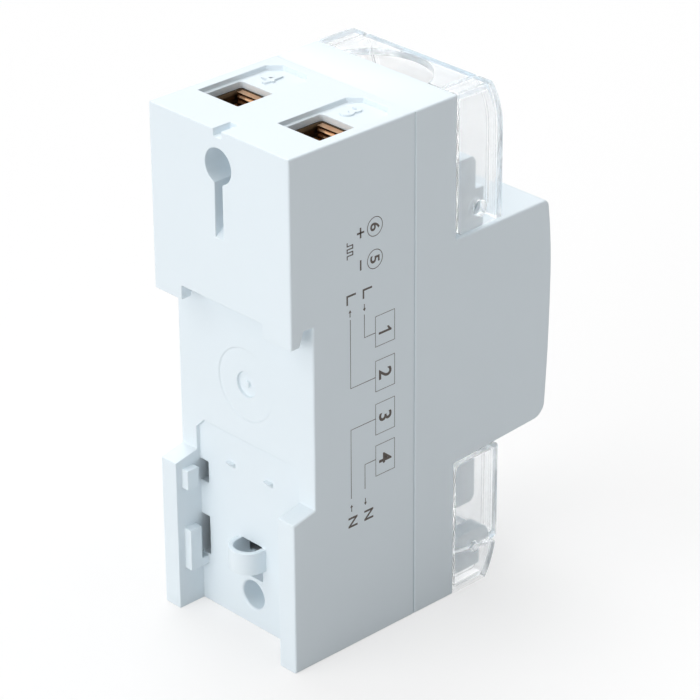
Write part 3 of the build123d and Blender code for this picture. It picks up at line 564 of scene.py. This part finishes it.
class METER_OT_stage(bpy.types.Operator):
    """Lay the floor, the light, the white surroundings and the camera."""

    bl_idname = "meter.stage"
    bl_label = "Stage"

    def execute(self, context):
        stage = context.scene.meter_stage
        scene = context.scene
        scene.view_settings.view_transform = "Standard"
        self.surroundings(scene, stage)
        self.floor(scene)
        self.lights(scene, stage)
        self.camera(scene, stage)
        return {"FINISHED"}

    def surroundings(self, scene, stage):
        """White where the camera, a reflection or a clear piece looks, and a plainer light for the rest."""
        world = bpy.data.worlds.new("studio")
        world.use_nodes = True
        tree = world.node_tree
        tree.nodes.clear()
        path = add_node(tree, "ShaderNodeLightPath").outputs
        seen = largest(tree, [path["Is Camera Ray"], path["Is Glossy Ray"]])
        plain = add_node(
            tree, "ShaderNodeMix", {"Factor": seen, "A": stage.room_light, "B": 1.0}, data_type="FLOAT")
        strength = add_node(
            tree, "ShaderNodeMix",
            {"Factor": path["Is Transmission Ray"], "A": plain.outputs["Result"],
             "B": stage.white_in_clear}, data_type="FLOAT")
        sky = add_node(
            tree, "ShaderNodeBackground",
            {"Color": (1, 1, 1, 1), "Strength": strength.outputs["Result"]})
        add_node(tree, "ShaderNodeOutputWorld", {"Surface": sky.outputs["Background"]})
        scene.world = world

    def floor(self, scene):
        """Pale seamless paper: white to the eye and in glass, and it keeps the meter's shadow."""
        reach, glow_strength = 4.0, 0.553
        catch_grey, bounce_grey = (0.4, 0.4, 0.4, 1), (0.6, 0.6, 0.6, 1)
        mesh = bpy.data.meshes.new("floor")
        corners = [(-reach, -reach, 0), (reach, -reach, 0), (reach, reach, 0), (-reach, reach, 0)]
        mesh.from_pydata(corners, [], [(0, 1, 2, 3)])
        floor = bpy.data.objects.new("floor", mesh)
        scene.collection.objects.link(floor)
        material, tree = new_material("seamless_paper_white")
        path = add_node(tree, "ShaderNodeLightPath").outputs
        glow = add_node(
            tree, "ShaderNodeEmission", {"Color": (1, 1, 1, 1), "Strength": glow_strength})
        catch = add_node(tree, "ShaderNodeBsdfDiffuse", {"Color": catch_grey})
        shown = add_node(
            tree, "ShaderNodeAddShader", {0: glow.outputs["Emission"], 1: catch.outputs["BSDF"]})
        bounce = add_node(tree, "ShaderNodeBsdfDiffuse", {"Color": bounce_grey})
        seen = largest(
            tree, [path["Is Camera Ray"], path["Is Glossy Ray"], path["Is Transmission Ray"]])
        surface = add_node(
            tree, "ShaderNodeMixShader",
            {0: seen, 1: bounce.outputs["BSDF"], 2: shown.outputs["Shader"]})
        add_node(tree, "ShaderNodeOutputMaterial", {"Surface": surface.outputs["Shader"]})
        mesh.materials.append(material)

    def lights(self, scene, stage):
        """Soft lights from the rail side, from above and from the far side, and a sharper one for shadow.

        Each lamp has a name, the way towards it, its strength and the angle that it spans in degrees."""
        lamps = (
            ("main_light", (-0.05, 1.0, 0.12), stage.main_strength, 50),
            ("top_light", (0.0, -0.15, 1.0), stage.top_strength, 60),
            ("side_light", (0.5, -0.25, 0.8), stage.side_strength, 40),
            ("key_light", (0.35, 0.6, 0.72), stage.key_strength, 30))
        for name, toward, strength, spread in lamps:
            lamp = bpy.data.lights.new(name, "SUN")
            lamp.energy = strength
            lamp.angle = math.radians(spread)
            light = bpy.data.objects.new(name, lamp)
            light.location = toward
            light.rotation_euler = Vector(toward).to_track_quat("Z", "Y").to_euler()
            scene.collection.objects.link(light)

    def camera(self, scene, stage):
        """The camera looks at the meter's rail side, from above and from its left."""
        around, above, roll = stage.azimuth, stage.elevation, stage.roll
        back = Vector((
            math.sin(around) * math.cos(above),
            -math.cos(around) * math.cos(above),
            math.sin(above)))
        level = Vector((math.cos(around), math.sin(around), 0))
        upright = back.cross(level)
        right = level * math.cos(roll) + upright * math.sin(roll)
        up = upright * math.cos(roll) - level * math.sin(roll)
        lens = bpy.data.cameras.new("camera")
        lens.sensor_width = 36
        lens.sensor_fit = "HORIZONTAL"
        lens.lens = stage.lens
        lens.clip_start = 0.01
        lens.clip_end = 20
        camera = bpy.data.objects.new("camera", lens)
        turn = Matrix((right, up, back)).transposed().to_4x4()
        camera.matrix_world = Matrix.Translation(Vector(stage.target) + back * stage.distance) @ turn
        scene.collection.objects.link(camera)
        scene.camera = camera


class METER_OT_housing(bpy.types.Operator):
    """Dress the rear and the front shell."""

    bl_idname = "meter.housing"
    bl_label = "Housing"

    def execute(self, context):
        look = context.scene.meter_look
        shell = moulded_shell(list(look.housing_colour))
        soft_edged("rear_housing", "rear_shell", shell, look.shell_edge, 2, at_entry_back)
        soft_edged("front_housing", "front_shell", shell, look.shell_edge, 2, at_seam)
        return {"FINISHED"}


class METER_OT_covers(bpy.types.Operator):
    """Dress the clear terminal covers, the flap, the display window and the light pipe."""

    bl_idname = "meter.covers"
    bl_label = "Clear Covers"

    def execute(self, context):
        look = context.scene.meter_look
        clear = clear_polycarbonate("clear_polycarbonate_polished", list(look.cover_colour), 0.02)
        pieces = {
            "upper_terminal_cover": "upper_cover",
            "lower_terminal_cover": "lower_cover",
            "lower_cover_flap": "lower_flap",
        }
        for node, name in pieces.items():
            soft_edged(node, name, clear, look.cover_edge, 3)
        pane = clear_polycarbonate("clear_polycarbonate_window", linear("#D8E8F0"), 0.0)
        dress(["display_window", "light_pipe"], pane)
        return {"FINISHED"}


class METER_OT_collars(bpy.types.Operator):
    """Line the cable entries with the bent-up collars of the clamps."""

    bl_idname = "meter.collars"
    bl_label = "Clamp Collars"

    def execute(self, context):
        # Brass strip in a brown darkened to near black: partly its own colour, partly painted shade that
        # makes the entry look deep
        dull = rolled_metal("brass_strip_dark_painted_shade", "#4C3D2D", "#352A1F", 0.4, 0.15, 2.0, axis=1)
        tree, given = new_tree("clamp_collar", ("Width", "Length", "Corner", "Thickness", "Height"))
        outline = add_node(
            tree, "GeometryNodeCurvePrimitiveQuadrilateral",
            {"Width": given["Width"], "Height": given["Length"]})
        rounded = add_node(
            tree, "GeometryNodeFilletCurve",
            {"Curve": outline.outputs["Curve"], "Radius": given["Corner"], "Count": 4}, mode="POLY")
        section = add_node(
            tree, "GeometryNodeCurvePrimitiveQuadrilateral",
            {"Width": given["Thickness"], "Height": given["Height"]})
        wall = add_node(
            tree, "GeometryNodeCurveToMesh",
            {"Curve": rounded.outputs["Curve"], "Profile Curve": section.outputs["Curve"]})
        end_with_copies(tree, given["Geometry"], wall.outputs["Mesh"], dull)
        width, length, corner, thickness = 9.16 * MM, 9.51 * MM, 0.58 * MM, 0.35 * MM
        reach, middle_y = 2.3 * MM, 18.125 * MM
        places = []
        for name in CAGES:
            low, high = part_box(name)
            z = high.z + reach / 2 if low.z > TOP_Z / 2 else low.z - reach / 2
            places.append(((low.x + high.x) / 2, middle_y, z))
        values = {
            "Width": width - thickness, "Length": length - thickness,
            "Corner": corner - thickness / 2, "Thickness": thickness, "Height": reach}
        run_tree(tree, points_mesh(places), values, "clamp_collars", dull)
        return {"FINISHED"}


class METER_OT_threads(bpy.types.Operator):
    """Cut the threads of the clamp screws."""

    bl_idname = "meter.threads"
    bl_label = "Screw Threads"

    def execute(self, context):
        # Zinc plate on steel: pale and bright, drawn along the screw
        steel = rolled_metal("zinc_plated_steel", "#C9CDD0", "#AEB4B8", 0.3, 0.1, 2.0, axis=1)
        tree, given = new_tree("screw_thread", ("Radius", "Pitch", "Length", "Ridge"))
        turns = add_node(
            tree, "ShaderNodeMath", {0: given["Length"], 1: given["Pitch"]}, operation="DIVIDE")
        helix = add_node(
            tree, "GeometryNodeCurveSpiral",
            {"Resolution": 20, "Rotations": turns.outputs["Value"], "Start Radius": given["Radius"],
             "End Radius": given["Radius"], "Height": given["Length"]})
        ridge = add_node(
            tree, "GeometryNodeCurvePrimitiveCircle",
            {"Resolution": 4, "Radius": given["Ridge"]}, mode="RADIUS")
        thread = add_node(
            tree, "GeometryNodeCurveToMesh",
            {"Curve": helix.outputs["Curve"], "Profile Curve": ridge.outputs["Curve"],
             "Fill Caps": True})
        end_with_copies(tree, given["Geometry"], thread.outputs["Mesh"], steel, TO_REAR)
        shank, pitch, crest = 2.32 * MM, 0.8 * MM, 0.16 * MM
        start, end = 5.6 * MM, 13.8 * MM
        places = []
        for name in SCREWS:
            low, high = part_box(name)
            middle = (low + high) / 2
            places.append((middle.x, start, middle.z))
        values = {"Radius": shank, "Pitch": pitch, "Length": end - start, "Ridge": crest}
        run_tree(tree, points_mesh(places), values, "clamp_screw_threads", steel)
        return {"FINISHED"}


class METER_OT_leads(bpy.types.Operator):
    """Solder the chip's leads and the joints of the through-hole parts."""

    bl_idname = "meter.leads"
    bl_label = "Leads and Joints"

    def execute(self, context):
        # Tinned leads are pale and streaked, and the solder is smoother and a little darker
        tin = rolled_metal("tinned_lead_frame", "#C4C7C9", "#A9ADB0", 0.28, 0.1, 1.0, axis=0)
        solder = plain_moulding("solder_tin_alloy", "#BFC3C6", "#A5A9AC", 0.25, 0.5, metallic=1.0)
        self.chip_leads(tin)
        self.joints(solder)
        return {"FINISHED"}

    def chip_leads(self, tin):
        """Gull-wing leads along the four sides of the metering chip."""
        tree, given = new_tree("chip_leads", ("Pitch", "Width", "Thickness", "Reach"), ("Pins",))
        bend = add_node(tree, "GeometryNodeMeshToCurve", {"Mesh": given["Geometry"]})
        section = add_node(
            tree, "GeometryNodeCurvePrimitiveQuadrilateral",
            {"Width": given["Thickness"], "Height": given["Width"]})
        lead = add_node(
            tree, "GeometryNodeCurveToMesh",
            {"Curve": bend.outputs["Curve"], "Profile Curve": section.outputs["Curve"],
             "Fill Caps": True})
        line = centred_row(tree, given["Pins"], given["Pitch"], "Y", {"X": given["Reach"]})
        row = add_node(
            tree, "GeometryNodeInstanceOnPoints", {"Points": line, "Instance": lead.outputs["Mesh"]})
        real = add_node(tree, "GeometryNodeRealizeInstances", {"Geometry": row.outputs["Instances"]})
        middle = add_node(
            tree, "GeometryNodeMeshLine", {"Count": 4, "Offset": (0, 0, 0)}, mode="OFFSET")
        index = add_node(tree, "GeometryNodeInputIndex")
        quarter = add_node(
            tree, "ShaderNodeMath",
            {0: index.outputs["Index"], 1: math.radians(90)}, operation="MULTIPLY")
        turn = add_node(tree, "ShaderNodeCombineXYZ", {"Z": quarter.outputs["Value"]})
        end_with_copies(
            tree, middle.outputs["Mesh"], real.outputs["Geometry"], tin, turn.outputs["Vector"])
        low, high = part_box("metering_chip")
        half_tall = (high.y - low.y) / 2
        root, shoulder, heel, toe, board_gap = -0.1 * MM, 0.35 * MM, 0.5 * MM, 1.1 * MM, 0.07 * MM
        shape = ((root, half_tall), (shoulder, half_tall), (heel, board_gap), (toe, board_gap))
        source = points_mesh([(x, 0, z) for x, z in shape], [(0, 1), (1, 2), (2, 3)])
        values = {
            "Pins": 11, "Pitch": 0.8 * MM, "Width": 0.32 * MM, "Thickness": 0.13 * MM,
            "Reach": (high.x - low.x) / 2}
        piece = run_tree(tree, source, values, "chip_leads", tin)
        centre = (low + high) / 2
        piece.data.transform(on_face((centre.x, low.y, centre.z), (-1, 0, 0), (0, 0, 1)))

    def joints(self, solder):
        """Small solder cones on the supply board's free side, under every pin and wire."""
        tree, given = new_tree("solder_joints", ("Radius", "Height"))
        tip = add_node(tree, "ShaderNodeMath", {0: given["Radius"], 1: 0.4}, operation="MULTIPLY")
        cone = add_node(
            tree, "GeometryNodeMeshCone",
            {"Vertices": 10, "Radius Top": tip.outputs["Value"], "Radius Bottom": given["Radius"],
             "Depth": given["Height"]})
        end_with_copies(tree, given["Geometry"], cone.outputs["Mesh"], solder, TO_REAR)
        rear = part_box("power_circuit_board")[1].y
        pins, pitch = 6, 2.54 * MM
        low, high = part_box("board_header")
        middle = (low + high) / 2
        places = [
            (middle.x + (pin - (pins - 1) / 2) * pitch, rear, middle.z) for pin in range(pins)]
        wires = (
            ("mains_capacitor", 10.0, "x"), ("smoothing_capacitor", 3.5, "z"),
            ("surge_varistor", 5.0, "x"), ("pulse_terminal_block", 5.0, "x"))
        for name, apart, along in wires:
            low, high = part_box(name)
            middle = (low + high) / 2
            for side in (-0.5, 0.5):
                shift = side * apart * MM
                across, up = (shift, 0) if along == "x" else (0, shift)
                places.append((middle.x + across, rear, middle.z + up))
        values = {"Radius": 0.75 * MM, "Height": 0.6 * MM}
        run_tree(tree, points_mesh(places), values, "solder_joints", solder)


class METER_OT_display(bpy.types.Operator):
    """Lay the unlit segments of the display on the front of its glass."""

    bl_idname = "meter.display"
    bl_label = "Display Segments"

    def execute(self, context):
        # Unlit liquid crystal: only a trace darker than the glass it lies on
        film = plain_moulding(
            "unlit_liquid_crystal_segment", "#78836F", "#747F6B", 0.12, 4.0, ior=1.52)
        tree, given = new_tree("segment_digits", ("Pitch",), ("Digits",))
        line = centred_row(tree, given["Digits"], given["Pitch"], "X")
        end_with_copies(tree, line, given["Geometry"], film)
        values = {"Digits": 6, "Pitch": 3.9 * MM}
        piece = run_tree(tree, self.digit(), values, "display_segments", film)
        low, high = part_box("display_window")
        piece.data.transform(
            on_face((0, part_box("lcd_glass")[0].y, (low.z + high.z) / 2), (1, 0, 0), (0, 0, 1)))
        return {"FINISHED"}

    def digit(self):
        """One seven-segment digit with its decimal point, as thin slabs round the origin, sized in mm."""
        wide, tall, bar, gap, high = 2.4, 5.4, 0.46, 0.06, 0.02
        point_gap, point_wide = 0.75, 0.7
        a, b = wide / 2, tall / 2

        def segment(x, y, length, upright):
            half, tip = length / 2 - gap, bar / 2
            outline = [
                (-half, 0), (tip - half, -tip), (half - tip, -tip),
                (half, 0), (half - tip, tip), (tip - half, tip)]
            if upright:
                outline = [(-q, p) for p, q in outline]
            return slab([(x + p, y + q) for p, q in outline], high * MM)

        level = [segment(0, y, wide, False) for y in (-b, 0, b)]
        upright = [segment(x, y, b, True) for x in (-a, a) for y in (-b / 2, b / 2)]
        point = segment(a + point_gap, -b, point_wide, False)
        return join_meshes(level + upright + [point], "digit")


class METER_OT_inside(bpy.types.Operator):
    """Dress the terminals, the boards and what they carry."""

    bl_idname = "meter.inside"
    bl_label = "Inside"

    def execute(self, context):
        self.terminals()
        self.boards()
        self.front()
        return {"FINISHED"}

    def terminals(self):
        """Metals of the clamps, the bars and the screws."""
        # Bare rolled copper: bright and warm, with fine streaks up the blades
        copper = rolled_metal("bare_copper_half_hard", "#F6CBA2", "#C98F66", 0.1, 0.12, 3.0, axis=2)
        # Stamped brass: duller and browner than the copper
        brass = rolled_metal("brass_strip_stamped", "#8A7354", "#665340", 0.34, 0.15, 2.5, axis=1)
        # Manganin: a grey brown strip between the bright blades
        alloy = rolled_metal("manganin_strip", "#9A8D80", "#7F7468", 0.45, 0.1, 2.0, axis=2)
        dress(["line_blade_1", "line_blade_2", "neutral_busbar"], copper)
        dress(CAGES + ["board_header"], brass)
        dress(SCREWS + ["pulse_terminal_screws"], bpy.data.materials["zinc_plated_steel"])
        dress(["shunt_resistor"], alloy)

    def boards(self):
        """The boards and the parts that are soldered to them."""
        dress(["main_circuit_board", "power_circuit_board"], board_laminate())
        # Moulded capacitor box: dull yellow, nearly matt
        dress(["mains_capacitor"], plain_moulding(
            "flame_retardant_capacitor_box", "#C9A22C", "#BD9524", 0.35, 0.4))
        # Shrunk sleeve: black, drawn tight and faintly glossy
        dress(["smoothing_capacitor"], plain_moulding(
            "shrink_sleeve_black", "#1C1D22", "#141519", 0.3, 0.8))
        # Dipped epoxy: deep blue with a wet coat
        dress(["surge_varistor"], plain_moulding(
            "dipped_epoxy_blue", "#1E4C9C", "#183F86", 0.28, 1.2, coat=0.4))
        # Glass-filled polyamide: grey and matt, with a fine speckle of fibre
        dress(["pulse_terminal_block"], plain_moulding(
            "glass_filled_polyamide_grey", "#5C6165", "#52575B", 0.5, 0.25, ior=1.53))
        # Moulded epoxy: black and matt, as chips are
        dress(["metering_chip"], plain_moulding(
            "moulded_epoxy_black", "#1B1B1C", "#151516", 0.55, 0.12, ior=1.55))

    def front(self):
        """The display and the pulse light behind the front."""
        # Milky acrylic: white and soft, it scatters what falls on it
        dress(["pulse_led", "lcd_light_guide"], plain_moulding(
            "milky_acrylic", "#EEF2F3", "#E2E8EA", 0.3, 1.5, ior=1.49))
        # Silicone rubber: dull pink
        dress(["lcd_connectors"], plain_moulding(
            "striped_silicone_rubber", "#D9A2AC", "#C78F9A", 0.6, 0.2, ior=1.43))
        # Polarised glass: grey green under a clear gloss
        dress(["lcd_glass"], plain_moulding(
            "polarised_display_glass", "#8E9A86", "#8A967F", 0.12, 4.0, ior=1.52, coat=0.5))


class METER_OT_print(bpy.types.Operator):
    """Print the terminal diagram on the side: boxes, leads, arrows and terminal marks."""

    bl_idname = "meter.print"
    bl_label = "Side Print"

    def execute(self, context):
        look = context.scene.meter_look
        ink = printing_ink(list(look.ink_colour))
        page = on_face((SIDE_X, 0, 0), (0, -1, 0), (0, 0, 1))
        self.lines(look, ink, page)
        self.marks(look, ink, page)
        return {"FINISHED"}

    def lines(self, look, ink, page):
        """Frames, rings and leads: one thin printed line along every path."""
        tree, given = new_tree("printed_line", ("Line Width", "Ink Height"))
        path = add_node(tree, "GeometryNodeMeshToCurve", {"Mesh": given["Geometry"]})
        level = add_node(
            tree, "GeometryNodeSetCurveNormal", {"Curve": path.outputs["Curve"]}, mode="Z_UP")
        section = add_node(
            tree, "GeometryNodeCurvePrimitiveQuadrilateral",
            {"Width": given["Line Width"], "Height": given["Ink Height"]})
        strip = add_node(
            tree, "GeometryNodeCurveToMesh",
            {"Curve": level.outputs["Curve"], "Profile Curve": section.outputs["Curve"],
             "Fill Caps": True})
        end_tree(tree, strip.outputs["Mesh"], ink)
        places, edges = [], []
        for points, closed in self.paths():
            first = len(places)
            places += [(x * MM, y * MM, look.ink_height / 2) for x, y in points]
            edges += [(corner, corner + 1) for corner in range(first, len(places) - 1)]
            if closed:
                edges.append((len(places) - 1, first))
        values = {"Line Width": look.line_width, "Ink Height": look.ink_height}
        piece = run_tree(tree, points_mesh(places, edges), values, "print_lines", ink)
        piece.data.transform(page)

    def paths(self):
        """Every printed path as points across and up the side in mm, and whether it closes."""
        near, far = -12.35, -7.71
        boxes = ((58.4, 64.3), (49.6, 55.6), (41.0, 47.1), (32.7, 38.8))
        rings = ((-12.42, 81.6), (-12.44, 75.45))
        ring_radius, ring_points = 1.78, 56
        inner, outer = -15.0, -18.35
        turns = [2 * math.pi * step / ring_points for step in range(ring_points)]
        paths = [
            ([(near, low), (far, low), (far, high), (near, high)], True) for low, high in boxes]
        for x, y in rings:
            ring = [(x + ring_radius * math.cos(t), y + ring_radius * math.sin(t)) for t in turns]
            paths.append((ring, True))
        paths += [
            ([(inner, 65.65), (inner, 61.2), (near, 61.2)], False),
            ([(outer, 65.8), (outer, 52.45), (near, 52.45)], False),
            ([(near, 44.25), (outer, 44.25), (outer, 30.5)], False),
            ([(near, 36.1), (inner, 36.1), (inner, 31.2)], False)]
        return paths

    def marks(self, look, ink, page):
        """Digits, L and N, plus and minus, the arrows and the pulse sign, placed and sized in mm."""
        turned = Matrix.Rotation(math.radians(-90), 4, "Z")
        high = look.ink_height
        boxed, ringed, letter, ringed_stretch = 3.05, 2.2, 2.2, 1.12
        sign_row, thick, plus_wide, minus_long = -15.82, 0.34, 1.7, 1.95
        meshes = []
        texts = (
            ("2", boxed, -10.0, 52.6), ("3", boxed, -10.0, 44.05), ("4", boxed, -10.0, 35.75),
            ("6", ringed, -12.42, 81.6), ("5", ringed, -12.44, 75.45),
            ("N", letter, -17.98, 25.7), ("N", letter, -14.1, 25.7))
        for text, tall, x, y in texts:
            mesh = glyph_mesh(text, tall * MM, high, weight=0.016)
            mesh.transform(Matrix.Diagonal((ringed_stretch if text in "56" else 1.0, 1, 1, 1)))
            mesh.transform(Matrix.Translation((x * MM, y * MM, 0)) @ turned)
            meshes.append(mesh)
        one = (
            (0.44, -1.54), (0.44, 1.54), (0.12, 1.54), (-0.14, 1.2),
            (-0.62, 0.86), (-0.62, 0.44), (0.02, 0.8), (0.02, -1.54))
        ell = (
            (-0.87, -1.1), (0.98, -1.1), (0.98, -0.76), (-0.51, -0.76), (-0.51, 1.12), (-0.87, 1.12))
        for outline, x, y in ((one, -10.0, 60.98), (ell, -14.27, 69.72), (ell, -18.12, 69.72)):
            meshes.append(slab([(x + b, y - a) for a, b in outline], high))
        for y in (81.45, 75.35):
            meshes.append(self.bar(sign_row, y, thick, minus_long, high))
        meshes.append(self.bar(sign_row, 81.45, plus_wide, thick, high))
        for x, y, heading in ((-15.0, 67.0, -1), (-18.4, 67.0, 1), (-14.92, 28.6, -1), (-18.3, 28.55, 1)):
            meshes.append(self.arrow(x, y, heading, high))
        meshes.append(self.pulse(-18.33, 78.95, high))
        piece = keep(join_meshes(meshes, "print_marks"), "print_marks", ink)
        piece.data.transform(page)

    def bar(self, x, y, wide, tall, high):
        """One straight bar round a point."""
        a, b = wide / 2, tall / 2
        return slab([(x - a, y - b), (x + a, y - b), (x + a, y + b), (x - a, y + b)], high)

    def arrow(self, x, y, heading, high):
        """A short arrow that points up or down the side."""
        half, shaft, head, barb = 0.7, 0.09, 0.55, 0.33
        points = [
            (-shaft, -half), (shaft, -half), (shaft, half - head), (barb, half - head),
            (0, half), (-barb, half - head), (-shaft, half - head)]
        return slab([(x + a, y + b * heading) for a, b in points], high)

    def pulse(self, x, y, high):
        """Two square pulses in a row, the sign of the pulse output."""
        tall, end, edges, thick = 1.3, 1.5, (-0.93, -0.31, 0.31, 0.93), 0.2
        level = -tall / 2
        bars = [self.bar(x, y + edge, tall + thick, thick, high) for edge in edges]
        for low, top in zip((-end,) + edges, edges + (end,)):
            bars.append(self.bar(x + level, y + (low + top) / 2, thick, top - low + thick, high))
            level = -level
        return join_meshes(bars, "pulse")


class METER_OT_numbers(bpy.types.Operator):
    """Raise the terminal numbers in the entry recesses."""

    bl_idname = "meter.numbers"
    bl_label = "Moulded Numbers"

    def execute(self, context):
        look = context.scene.meter_look
        shell = bpy.data.materials["moulded_abs_cool_white"]
        tall, along, left, right = 4.4 * MM, 9.4 * MM, 11.7 * MM, -8.8 * MM
        upper, lower = TOP_Z - RECESS_DEPTH, RECESS_DEPTH
        places = (
            ("4", left, upper, -1), ("3", right, upper, -1),
            ("1", right, lower, 1), ("2", left, lower, 1))
        meshes = []
        for text, x, z, across in places:
            mesh = glyph_mesh(text, tall, look.relief, weight=0.02)
            mesh.transform(on_face((x, along, z), (across, 0, 0), (0, -1, 0)))
            meshes.append(mesh)
        keep(join_meshes(meshes, "moulded_numbers"), "moulded_numbers", shell)
        return {"FINISHED"}


class METER_PT_panel(bpy.types.Panel):
    """Lists the steps that dress the meter."""

    bl_idname = "METER_PT_panel"
    bl_label = "Energy Meter"
    bl_space_type = "VIEW_3D"
    bl_region_type = "UI"
    bl_category = "Meter"

    def draw(self, context):
        for group, kind in ((context.scene.meter_look, MeterLook), (context.scene.meter_stage, MeterStage)):
            for name in kind.__annotations__:
                self.layout.prop(group, name)
        for step in STEPS:
            self.layout.operator(step.bl_idname)


STEPS = (
    METER_OT_stage,
    METER_OT_housing,
    METER_OT_covers,
    METER_OT_print,
    METER_OT_numbers,
    METER_OT_collars,
    METER_OT_threads,
    METER_OT_inside,
    METER_OT_leads,
    METER_OT_display,
)
CLASSES = (MeterLook, MeterStage) + STEPS + (METER_PT_panel,)


def register():
    for kind in CLASSES:
        bpy.utils.register_class(kind)
    bpy.types.Scene.meter_look = bpy.props.PointerProperty(type=MeterLook)
    bpy.types.Scene.meter_stage = bpy.props.PointerProperty(type=MeterStage)


def unregister():
    del bpy.types.Scene.meter_stage
    del bpy.types.Scene.meter_look
    for kind in reversed(CLASSES):
        bpy.utils.unregister_class(kind)


def main():
    """Dress the meter one step after another."""
    register()
    for step in STEPS:
        area, name = step.bl_idname.split(".")
        getattr(getattr(bpy.ops, area), name)()


if __name__ == "__main__":
    main()
